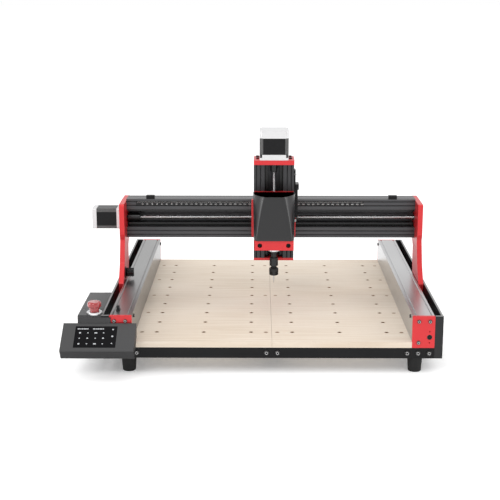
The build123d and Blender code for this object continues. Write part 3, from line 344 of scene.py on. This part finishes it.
bright_steel = finish("bright_steel", turned_steel((0.50, 0.50, 0.51), (0.74, 0.74, 0.75)), Metallic=1.0)
black_steel = finish("black_steel", turned_steel((0.012, 0.012, 0.013), (0.05, 0.05, 0.05), 4 * mm, 5.0),
                     Metallic=0.8)
dress(finish("rim_highlight_steel", rim_highlight_head, Metallic=0.9), "cross_beam_bolts", "end_plate_screws",
      "y_screw_bearings")
dress(bright_steel, "y_guides", "x_screw_bearing", "spindle_shaft", "cutter", "spindle_motor")
dress(black_steel, "tool_holder", "x_coupler", "gantry_bolts", "clamp_bolts", "collet_nut", "z_coupler",
      "z_top_screws", "x_guides", "z_guides")


# --- Lead screws --------------------------------------------------------------------------
# Rolled steel screws, 8 mm across, with four threads side by side and a lead of 8 mm. The
# two along Y lie inside the side rails and show only their front ends.

thread_crest, thread_root = 4.0 * mm, 3.3 * mm
thread_pitch, thread_starts = 2.0 * mm, 4
thread_step, round_steps = 0.3 * mm, 24


def mesh_of(name, points, quads):
    """A mesh from arrays of points and quads."""
    mesh = bpy.data.meshes.new(name)
    mesh.vertices.add(len(points))
    mesh.vertices.foreach_set("co", np.asarray(points, np.float32).ravel())
    mesh.loops.add(quads.size)
    mesh.loops.foreach_set("vertex_index", quads.ravel())
    mesh.polygons.add(len(quads))
    mesh.polygons.foreach_set("loop_start", np.arange(len(quads)) * 4)
    mesh.polygons.foreach_set("loop_total", np.full(len(quads), 4))
    mesh.update(calc_edges=True)
    mesh.validate()
    return mesh


def sheet_mesh(name, grid, wrap=False):
    """A mesh from an array of points [u, v, xyz]: neighbours in the grid share a face.

    With wrap, the last column of the grid meets the first.
    """
    count_u, count_v = grid.shape[:2]
    index = np.arange(count_u * count_v).reshape(count_u, count_v)
    if wrap:
        index = np.hstack([index, index[:, :1]])
    quads = np.stack([index[:-1, :-1], index[1:, :-1], index[1:, 1:], index[:-1, 1:]], -1).reshape(-1, 4)
    return mesh_of(name, grid.reshape(-1, 3), quads)


def turned_mesh(name, centre, axis, along, angle, radius):
    """Points at each (along, angle) step, at their radius from the line through centre along axis.

    The angle runs from the axis before towards the axis after, in the order X Y Z X, so that the
    faces point outwards where along grows. The first and last rows have no radius, and each is
    welded into one point.
    """
    before, after = (axis + 2) % 3, (axis + 1) % 3
    grid = np.empty((*radius.shape, 3))
    grid[..., axis] = along
    grid[..., before] = centre[before] + radius * np.cos(angle)
    grid[..., after] = centre[after] + radius * np.sin(angle)
    mesh = sheet_mesh(name, grid, wrap=True)
    welded = bmesh.new()
    welded.from_mesh(mesh)
    bmesh.ops.remove_doubles(welded, verts=welded.verts, dist=0.001 * mm)
    welded.to_mesh(mesh)
    welded.free()
    return mesh


def piece(name, mesh, body, material):
    """An object at the origin that rides on a body and wears the given material."""
    made = bpy.data.objects.new(name, mesh)
    bpy.context.scene.collection.objects.link(made)
    mesh.materials.append(material)
    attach(made, body)
    return made


def threaded_rod(name, node, axis, body):
    """The radius at each (along, angle) step follows a wave between root and crest.

    The wave's phase is along over the pitch plus the number of starts times the turn, so each
    start is a helix. Its flanks are straight, and its root and crest are flat.
    """
    low, high = (np.array(corner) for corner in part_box(node))
    along = np.arange(low[axis], high[axis], thread_step)
    turn = np.linspace(0, 2 * pi, round_steps, endpoint=False)
    along, turn = np.meshgrid(along, turn, indexing="ij")
    phase = (along / thread_pitch + thread_starts * turn / (2 * pi)) % 1.0
    radius = thread_root + (thread_crest - thread_root) * np.clip(1.5 - 6 * np.abs(phase - 0.5), 0, 1)
    end_rows = ((1, 1), (0, 0))
    along, turn = np.pad(along, end_rows, "edge"), np.pad(turn, end_rows, "edge")
    mesh = turned_mesh(name, (low + high) / 2, axis, along, turn, np.pad(radius, end_rows))
    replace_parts(piece(name, mesh, body, bright_steel), node)


threaded_rod("x_thread", "x_lead_screw", 0, "x_screw")
threaded_rod("z_thread", "z_lead_screw", 2, "z_screw")


def coordinate(wire, axis):
    """The place on the object along one axis: 0 for X, 1 for Y, 2 for Z."""
    return wire.node("SeparateXYZ", {}, {0: wire.node("TexCoord", {}, {}, "Object")}, axis)


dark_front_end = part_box("y_lead_screw_left")[0].y + 1 * mm


def rolled_thread(wire):
    """Bright steel with a ridge every 2 mm along Y as relief, painted shade in the roots between ridges,
    and a dark front end.
    """
    along = coordinate(wire, 1)
    ridge = wire.math("PINGPONG", along * 1000.0, 1.0)
    turning = grain(wire, (700, 700, 700), 2.0)
    # Painted shade: the colour darkens from each crest to the root beside it.
    metal = blend(wire, ridge * 0.8 + turning * 0.2, (0.12, 0.12, 0.12), (0.6, 0.6, 0.61))
    return {"Base Color": blend(wire, wire.math("LESS_THAN", along, dark_front_end), metal, (0.02, 0.02, 0.02)),
            "Roughness": 0.22 + turning * 0.15, "Normal": soft_edges(wire, 0.3 * mm, ridge, 0.7 * mm)}


dress(finish("rolled_thread", rolled_thread, Metallic=1.0), "y_lead_screw_left", "y_lead_screw_right")


# --- Motors -------------------------------------------------------------------------------
# Stepper motors: a black laminated stack between a cast flange and cap of pale aluminium,
# held together by long screws through the corners.

layer_repeat = 0.35
stack_black, stack_worn = (0.006, 0.006, 0.007), (0.020, 0.020, 0.021)
cast_dark, cast_light = (0.57, 0.57, 0.575), (0.68, 0.68, 0.685)
corner_width, cap_length = 7 * mm, 9 * mm


def lamination(direction, centre, reach):
    """Fine layers across the motor's axis, and a painted highlight on the corners past reach."""
    def look(wire):
        offsets = [coordinate(wire, axis) - centre[axis] for axis in range(3)]
        layers = wire.math("PINGPONG", offsets.pop(direction) * 1000.0, layer_repeat)
        first, second = [wire.math("GREATER_THAN", wire.math("ABSOLUTE", side), reach) for side in offsets]
        wear = grain(wire, (300, 300, 300), 3.0)
        flats = blend(wire, wear, (0.003, 0.003, 0.0035), (0.010, 0.010, 0.011))
        # Painted highlight on the corner faces.
        corner_highlight = blend(wire, wear, (0.05, 0.05, 0.05), (0.12, 0.12, 0.12))
        return {"Base Color": blend(wire, first * second, flats, corner_highlight), "Roughness": 0.28 + wear * 0.15,
                "Normal": soft_edges(wire, 0.4 * mm, layers, 0.08 * mm)}
    return look


for node, direction in (("x_motor_stack", 0), ("z_motor_stack", 2)):
    stack_low, stack_high = (np.array(corner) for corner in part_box(node))
    corner_start = (stack_high - stack_low)[1] / 2 - corner_width
    stack_look = lamination(direction, (stack_low + stack_high) / 2, corner_start)
    dress(finish(node + "_skin", stack_look, Metallic=0.4, Specular_IOR_Level=0.3), node)


def textured(name, cells, dark, light, roughness, edge, relief, detail=2.0, **uniform):
    """A finish in which one noise moves the colour, the roughness and the relief together.

    It has so many cells per metre. The roughness is given as its lowest value and its spread.
    """
    def look(wire):
        texture = grain(wire, (cells, cells, cells), detail)
        return {"Base Color": blend(wire, texture, dark, light),
                "Roughness": roughness[0] + texture * roughness[1],
                "Normal": soft_edges(wire, edge, texture, relief)}
    return finish(name, look, **uniform)


cast_silver = textured("cast_silver", 900, cast_dark, cast_light, roughness=(0.40, 0.15), edge=0.6 * mm,
                       relief=0.05 * mm, detail=3.0, Metallic=0.35)
dress(cast_silver, "x_motor_bells", "z_motor_bells")

y_motor_low, y_motor_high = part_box("y_motors")


def y_motor_look(wire):
    """The Y motors are one node: the stack lies between a flange and a cap of equal length."""
    along = coordinate(wire, 1)
    layers = wire.math("PINGPONG", along * 1000.0, layer_repeat)
    past_flange = wire.math("GREATER_THAN", along, y_motor_low.y + cap_length)
    before_cap = wire.math("LESS_THAN", along, y_motor_high.y - cap_length)
    stack = past_flange * before_cap
    cast = grain(wire, (900, 900, 900), 3.0)
    laminated = blend(wire, cast, stack_black, stack_worn)
    colour = blend(wire, stack, blend(wire, cast, cast_dark, cast_light), laminated)
    return {"Base Color": colour, "Roughness": 0.36 + cast * 0.15,
            "Normal": soft_edges(wire, 0.5 * mm, layers * stack + cast * 0.1, 0.08 * mm)}


dress(finish("y_motor_skin", y_motor_look, Metallic=0.35), "y_motors")


# --- Control box, screen case and feet ----------------------------------------------------
# A powder-coated control box, a moulded screen case whose front is paler than its shell, and
# rubber feet.

panel_low, panel_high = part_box("display_panel")
panel_slope, panel_height, panel_thickness = radians(32), 50 * mm, 8 * mm
panel_width = panel_high.x - panel_low.x
panel_corner = np.array((panel_low.x, panel_high.y - panel_thickness * sin(panel_slope), panel_high.z))
screen_normal = np.array((0.0, -sin(panel_slope), cos(panel_slope)))
screen_face = float(panel_corner @ screen_normal)
front_depth = 1.6 * mm


def case_look(wire):
    """Moulded plastic, paler within front_depth of the tilted front face."""
    texture = grain(wire, (1100, 1100, 1100), 2.0)
    along_normal = {0: wire.node("TexCoord", {}, {}, "Object"), 1: tuple(screen_normal)}
    height = wire.node("VectorMath", {"operation": "DOT_PRODUCT"}, along_normal, "Value")
    at_front = wire.math("GREATER_THAN", height, screen_face - front_depth)
    shell = blend(wire, texture, (0.008, 0.008, 0.009), (0.015, 0.015, 0.016))
    front = blend(wire, texture, (0.036, 0.036, 0.037), (0.048, 0.048, 0.049))
    return {"Base Color": blend(wire, at_front, shell, front), "Roughness": 0.42 + texture * 0.16,
            "Normal": soft_edges(wire, 0.7 * mm, texture, 0.05 * mm)}


black_powder = textured("black_powder", 700, (0.010, 0.010, 0.011), (0.018, 0.018, 0.019),
                        roughness=(0.26, 0.16), edge=0.7 * mm, relief=0.06 * mm, Specular_IOR_Level=0.4)
dress(black_powder, "control_box_base", "control_box_lid")
dress(finish("case_plastic", case_look, Specular_IOR_Level=0.35), "screen_case", "power_rocker")
foot_rubber = textured("foot_rubber", 250, (0.003, 0.003, 0.003), (0.009, 0.009, 0.009),
                       roughness=(0.62, 0.2), edge=0.8 * mm, relief=0.08 * mm, detail=4.0,
                       Specular_IOR_Level=0.35)
dress(foot_rubber, "feet")


# --- Emergency stop -----------------------------------------------------------------------
# A glossy red mushroom of moulded plastic that springs back, on a satin steel flange screwed
# to the control box's lid.

def stop_red_look(wire):
    """Clear red plastic with a faint haze in its gloss."""
    haze = grain(wire, (120, 120, 120), 2.0)
    return {"Base Color": blend(wire, haze, (0.26, 0.001, 0.003), (0.34, 0.003, 0.005)),
            "Roughness": 0.04 + haze * 0.05, "Normal": soft_edges(wire, 0.5 * mm)}


dress(finish("stop_red", stop_red_look, Coat_Weight=1.0), "estop_knob")
flange_steel = turned_steel((0.60, 0.60, 0.61), (0.80, 0.80, 0.81))
dress(finish("stop_flange", flange_steel, Metallic=0.9), "estop_base")


# --- Ruler --------------------------------------------------------------------------------
# A black strip along the beam with white millimetre marks and a number each centimetre,
# printed on its face.

def print_look(wire):
    """White ink with a fine grain."""
    ink = grain(wire, (900, 900, 900), 2.0)
    return {"Base Color": blend(wire, ink, (0.50, 0.50, 0.50), (0.62, 0.62, 0.62)),
            "Roughness": 0.5 + ink * 0.1}


def box_rows(lows, highs):
    """Points and quads of many boxes, from arrays of their low and high corners."""
    corner = np.array([(0, 0, 0), (1, 0, 0), (1, 1, 0), (0, 1, 0),
                       (0, 0, 1), (1, 0, 1), (1, 1, 1), (0, 1, 1)])
    faces = np.array([(0, 3, 2, 1), (4, 5, 6, 7), (0, 1, 5, 4), (1, 2, 6, 5), (2, 3, 7, 6), (3, 0, 4, 7)])
    points = lows[:, None] + corner[None] * (highs - lows)[:, None]
    quads = faces[None] + len(corner) * np.arange(len(lows))[:, None, None]
    return points.reshape(-1, 3), quads.reshape(-1, 4)


ruler_low, ruler_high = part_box("ruler_strip")
print_depth, print_gap = 0.05 * mm, 0.4 * mm
long_mark, middle_mark, short_mark, mark_half_width = 2.6 * mm, 1.9 * mm, 1.3 * mm, 0.12 * mm
first_mark, unmarked_steps = 3 * mm, 4
numeral_size, numeral_base = 3.6 * mm, 1.4 * mm

white_print = finish("white_print", print_look)
dress(finish("ruler_black", black_anodised(0), Metallic=0.3, Specular_IOR_Level=0.3), "ruler_strip")
marks = np.arange(int((ruler_high.x - ruler_low.x) / mm) - unmarked_steps)
mark_x = ruler_low.x + first_mark + marks * mm
mark_height = np.where(marks % 10 == 0, long_mark, np.where(marks % 5 == 0, middle_mark, short_mark))
mark_top = np.full(len(marks), ruler_high.z - print_gap)
face_y = np.full(len(marks), ruler_low.y)
mark_lows = np.stack([mark_x - mark_half_width, face_y - print_depth, mark_top - mark_height], -1)
mark_highs = np.stack([mark_x + mark_half_width, face_y, mark_top], -1)
piece("ruler_marks", mesh_of("ruler_marks", *box_rows(mark_lows, mark_highs)), "gantry",
      white_print)

numbers = bpy.data.curves.new("ruler_numbers", "FONT")
numbers.size, numbers.align_x, numbers.extrude = numeral_size, "CENTER", print_depth / 2
numeral_points, numeral_faces, numeral_count = [], [], 0
for centimetre in range(1, len(marks) // 10 + 1):
    numbers.body = str(10 * centimetre)
    text_object = bpy.data.objects.new("numeral", numbers)
    numeral = bpy.data.meshes.new_from_object(text_object)
    flat = np.empty(len(numeral.vertices) * 3)
    numeral.vertices.foreach_get("co", flat)
    flat = flat.reshape(-1, 3)
    numeral_faces += [tuple(numeral_count + v for v in face.vertices) for face in numeral.polygons]
    numeral_points.append(np.stack([mark_x[0] + 10 * centimetre * mm + flat[:, 0],
                                    ruler_low.y - flat[:, 2] - print_depth / 2,
                                    ruler_low.z + numeral_base + flat[:, 1]], -1))
    numeral_count += len(flat)
    bpy.data.objects.remove(text_object)
numeral_mesh = bpy.data.meshes.new("ruler_numerals")
numeral_mesh.from_pydata(np.concatenate(numeral_points).tolist(), [], numeral_faces)
piece("ruler_numerals", numeral_mesh, "gantry", white_print)


# --- Display ------------------------------------------------------------------------------
# Black glass over the touch panel, with a lit menu of plain shapes as keys and two rows of
# plain bars in place of words.

def glass_look(wire):
    """Black glass with faint smudges in its gloss."""
    smudge = grain(wire, (40, 40, 40), 3.0)
    return {"Base Color": blend(wire, smudge, (0.002, 0.002, 0.0025), (0.004, 0.004, 0.005)),
            "Roughness": 0.10 + smudge * 0.08}


def lit_look(wire):
    """Pale grey light, slightly uneven."""
    flicker = grain(wire, (300, 300, 300))
    colour = blend(wire, flicker, (0.30, 0.31, 0.32), (0.42, 0.43, 0.44))
    return {"Base Color": colour, "Emission Color": colour, "Roughness": 0.2 + flicker * 0.1}


glyph_radius, glyph_lift = 1.9 * mm, 0.06 * mm
bar_top, bar_foot, bar_gap = 5 * mm, 7.4 * mm, 0.8 * mm
bar_widths = np.array((4.0, 2.0, 3.0, 5.0, 2.5)) * mm


def on_panel(flat):
    """Points across and down the panel, in metres, brought onto its tilted face."""
    across, down = flat[..., 0], flat[..., 1]
    face = np.stack([across, -down * cos(panel_slope), -down * sin(panel_slope)], -1)
    return panel_corner + face + screen_normal * glyph_lift


def glyph_outline(sides, turn, stretch=1.0):
    """A regular polygon's corners on a circle of radius one, turned and stretched sideways."""
    angle = radians(turn) + np.arange(sides) * 2 * pi / sides
    return np.stack([np.cos(angle) * stretch, np.sin(angle)], -1)


glyphs = {
    "left": glyph_outline(3, 180), "right": glyph_outline(3, 0), "up": glyph_outline(3, 270),
    "down": glyph_outline(3, 90), "square": glyph_outline(4, 45), "diamond": glyph_outline(4, 0),
    "round": glyph_outline(16, 0), "bar": glyph_outline(4, 45, 1.9), "six": glyph_outline(6, 0),
}
# Each key's place across and down the panel, as a share of its width and height, and its shape.
keys = [(0.12, 0.31, "round"), (0.31, 0.31, "up"), (0.50, 0.31, "bar"), (0.685, 0.31, "up"),
        (0.12, 0.56, "left"), (0.31, 0.56, "diamond"), (0.50, 0.56, "right"), (0.685, 0.56, "six"),
        (0.12, 0.82, "round"), (0.31, 0.82, "down"), (0.50, 0.82, "bar"), (0.685, 0.82, "down"),
        (0.90, 0.15, "square"), (0.90, 0.47, "round"), (0.90, 0.80, "up")]
lit_shapes = [glyphs[kind] * glyph_radius + np.array((across * panel_width, down * panel_height))
              for across, down, kind in keys]
for row_start in (0.05, 0.42):
    bar_ends = row_start * panel_width + np.cumsum(bar_widths + bar_gap) - bar_gap
    for begin, end in zip(bar_ends - bar_widths, bar_ends):
        lit_shapes.append(np.array([(begin, bar_top), (end, bar_top), (end, bar_foot), (begin, bar_foot)]))
lit_faces, lit_count = [], 0
for shape in lit_shapes:
    lit_faces.append(tuple(range(lit_count, lit_count + len(shape)))[::-1])
    lit_count += len(shape)
lit_mesh = bpy.data.meshes.new("menu_keys")
lit_mesh.from_pydata(on_panel(np.concatenate(lit_shapes)).tolist(), [], lit_faces)
dress(finish("display_glass", glass_look, Specular_IOR_Level=0.05), "display_panel")
piece("menu_keys", lit_mesh, "base", finish("lit_keys", lit_look, Emission_Strength=0.2))


# --- Limit switch and its trip -------------------------------------------------------------
# A moulded microswitch with a spring lever, on a plate screwed to the left side plate, and the
# moulded block on the rail's front that trips it, held by one screw.

switch_black = textured("switch_black", 800, (0.006, 0.006, 0.007), (0.014, 0.014, 0.015),
                        roughness=(0.36, 0.15), edge=0.3 * mm, relief=0.03 * mm, Specular_IOR_Level=0.4)
plate_low, plate_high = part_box("gantry_plate_left")
rail_low, rail_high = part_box("y_rail_left")
# Low and high corners, in mm: side plate, backing plate, switch body and three terminals.
switch_boxes = np.array([[(0, 0, 0), (1.6, 12, 21)], [(1.6, 8, 2), (17.5, 9.6, 19)],
                         [(4, 1, 3), (17, 8, 17)], [(5.5, 3, 0.8), (6, 5, 3)],
                         [(10, 3, 0.8), (10.5, 5, 3)], [(14.5, 3, 0.8), (15, 5, 3)]]) * mm
switch_corner = np.array((plate_high.x, plate_low.y + 29 * mm, rail_high.z + 3 * mm))
lever_start, lever_length, lever_low, lever_high = 4 * mm, 13.5 * mm, 8 * mm, 12 * mm
lever_lift, lever_bend, lever_thickness = 0.2 * mm, 4.6 * mm, 0.4 * mm
# Foot and upright of the trip, in mm.
trip_boxes = np.array([[(0, 0, 0), (7, 14, 2.2)], [(1, 1.5, 2.2), (6, 9, 9.5)]]) * mm
trip_corner = np.array((rail_low.x + 8 * mm, rail_low.y + 24 * mm, rail_high.z))
# Distance from the seat and radius, in mm, from the middle of the seat to the socket's floor.
switch_screw_profile = [(0, 0), (0, 1.4), (0.7, 1.4), (1.0, 1.1), (1.0, 0.7), (0.4, 0.6), (0.4, 0)]
trip_screw_profile = [(0, 0), (0, 1.6), (0.9, 1.6), (1.2, 1.3), (1.2, 0.8), (0.5, 0.7), (0.5, 0)]


def bevelled(made, width):
    """Rounds a piece's edges by the given width."""
    edge = made.modifiers.new("edges", "BEVEL")
    edge.width, edge.segments, edge.limit_method, edge.angle_limit = width, 2, "ANGLE", radians(40)


def thickened(made, thickness, offset):
    """Gives a sheet a wall: offset -1 puts it all behind the sheet, and 0 half on each side."""
    wall = made.modifiers.new("wall", "SOLIDIFY")
    wall.thickness, wall.offset = thickness, offset


def boxes_piece(name, corner, boxes, body, material, edge):
    """A moulding made of boxes whose low and high corners are given from one corner."""
    mesh = mesh_of(name, *box_rows(corner + boxes[:, 0], corner + boxes[:, 1]))
    bevelled(piece(name, mesh, body, material), edge)


def screw_head(name, seat, axis, facing, profile, body, material):
    """A profile carried round the axis through the seat's middle. Facing is 1 or -1 along the axis."""
    distance, radius = np.array(profile).T * mm
    turn = facing * np.linspace(0, 2 * pi, round_steps, endpoint=False)
    distance, turn = np.meshgrid(seat[axis] + facing * distance, turn, indexing="ij")
    radius = np.repeat(radius[:, None], round_steps, axis=1)
    piece(name, turned_mesh(name, seat, axis, distance, turn, radius), body, material)


boxes_piece("y_limit_switch", switch_corner, switch_boxes, "gantry", switch_black, 0.3 * mm)
lever_share = np.linspace(0, 1, 12)[:, None]
lever_z = np.array((lever_low, lever_high))[None, :] + 0 * lever_share
lever_across = lever_start + lever_length * lever_share + 0 * lever_z
lever_depth = -(lever_lift + lever_bend * lever_share ** 2) + 0 * lever_z
lever_grid = switch_corner + np.stack([lever_across, lever_depth, lever_z], -1)
lever_mesh = sheet_mesh("y_limit_lever", lever_grid)
lever = piece("y_limit_lever", lever_mesh, "gantry", black_steel)
thickened(lever, lever_thickness, 0.0)
for number, across in enumerate((6.5, 14.5)):
    screw_head(f"y_limit_screw_{number + 1}", switch_corner + np.array((across, 1.0, 14.5)) * mm, 1, -1,
               switch_screw_profile, "gantry", black_steel)
boxes_piece("y_limit_trip", trip_corner, trip_boxes, "base", switch_black, 0.6 * mm)
screw_head("y_limit_trip_screw", trip_corner + np.array((3.5, 11.5, 2.2)) * mm, 2, 1, trip_screw_profile,
           "base", bright_steel)


# --- Plug bracket screws ------------------------------------------------------------------
# Two small screws, sunk in the folded bracket beside the Z profile, hold the plugs of its
# motor and of the spindle.

bracket_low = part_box("connector_bracket")[0]
bracket_screw_x, bracket_screw_heights, bracket_seat = 3.2 * mm, (4 * mm, 98 * mm), 0.85 * mm
bracket_screw_profile = [(0, 0), (0, 2.2), (0.7, 2.2), (0.9, 1.9), (0.9, 1.1), (0.3, 1.0), (0.3, 0)]
for number, height in enumerate(bracket_screw_heights):
    seat = (bracket_low.x + bracket_screw_x, bracket_low.y + bracket_seat, bracket_low.z + height)
    screw_head(f"bracket_screw_{number + 1}", seat, 1, -1, bracket_screw_profile, "x_carriage",
               bright_steel)


# --- Spindle cover ------------------------------------------------------------------------
# Thin sheet metal with a satin black coat, open above and below and fixed to the spindle
# plate. Its front corners are tight at the foot and swell into wide curves at the top.

cover_low, cover_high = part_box("spindle_cover")
cover_wall, lip_radius = 2.2 * mm, 0.5 * mm
foot_shoulder, top_shoulder = np.array((4.5, 16.0)) * mm, np.array((22.0, 42.0)) * mm
shoulder_growth, crease_turn = 1.35, radians(52)
front_lean, foot_inset = 8 * mm, 1.8 * mm
cover_rows, shoulder_steps, back_steps = 25, 13, 9


def cover_ring(up, shoulder, front, half):
    """One row of the cover per value of up: half of it, its mirror image, then the back wall.

    Each shoulder is part of an ellipse of the given width and depth. It starts square to the side
    and stops short of the front, so that it meets the flat front in a crease.
    """
    turn = np.linspace(0, crease_turn, shoulder_steps)[None, :]
    across_share = (1 - np.cos(turn)) / (1 - cos(crease_turn))
    depth_share = np.sin(turn) / sin(crease_turn)
    shoulder_x = -half + shoulder[:, :1] * across_share
    shoulder_y = front + shoulder[:, 1:] * (1 - depth_share)
    side_y = cover_high.y + (shoulder_y[:, :1] - cover_high.y) * np.array((0.0, 0.4, 0.8))[None, :]
    front_x = shoulder_x[:, -1:] * np.array((0.98, 0.6, 0.2))[None, :]
    left_x = np.hstack([-half + 0 * side_y, shoulder_x, front_x])
    left_y = np.hstack([side_y, shoulder_y, front + 0 * front_x])
    back_x = half * np.linspace(0.98, -0.98, back_steps)[None, :]
    across = np.hstack([left_x, -left_x[:, ::-1], back_x]) + (cover_high.x + cover_low.x) / 2
    depth = np.hstack([left_y, left_y[:, ::-1], cover_high.y + 0 * back_x])
    return np.stack([across, depth, up + 0 * across], -1)


def satin_look(wire):
    """Satin black, with a fine grain and faint drifts in its gloss."""
    texture = grain(wire, (900, 900, 900), 2.0)
    wipe = grain(wire, (25, 25, 9), 3.0)
    return {"Base Color": blend(wire, texture, (0.009, 0.009, 0.010), (0.015, 0.015, 0.016)),
            "Roughness": 0.24 + wipe * 0.12, "Normal": soft_edges(wire, 0.5 * mm, texture, 0.02 * mm)}


rise = np.linspace(0, 1, cover_rows)[:, None]
cover_grid = cover_ring(up=cover_low.z + (cover_high.z - cover_low.z) * rise,
                        shoulder=foot_shoulder + (top_shoulder - foot_shoulder) * rise ** shoulder_growth,
                        front=cover_low.y + front_lean * rise,
                        half=(cover_high.x - cover_low.x) / 2 - foot_inset * (1 - rise))
satin_black = finish("satin_black", satin_look, Specular_IOR_Level=0.45)
cover = piece("cover_shell", sheet_mesh("cover_shell", cover_grid, wrap=True), "z_carriage",
              satin_black)
thickened(cover, cover_wall, -1.0)
bevelled(cover, lip_radius)
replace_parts(cover, "spindle_cover")
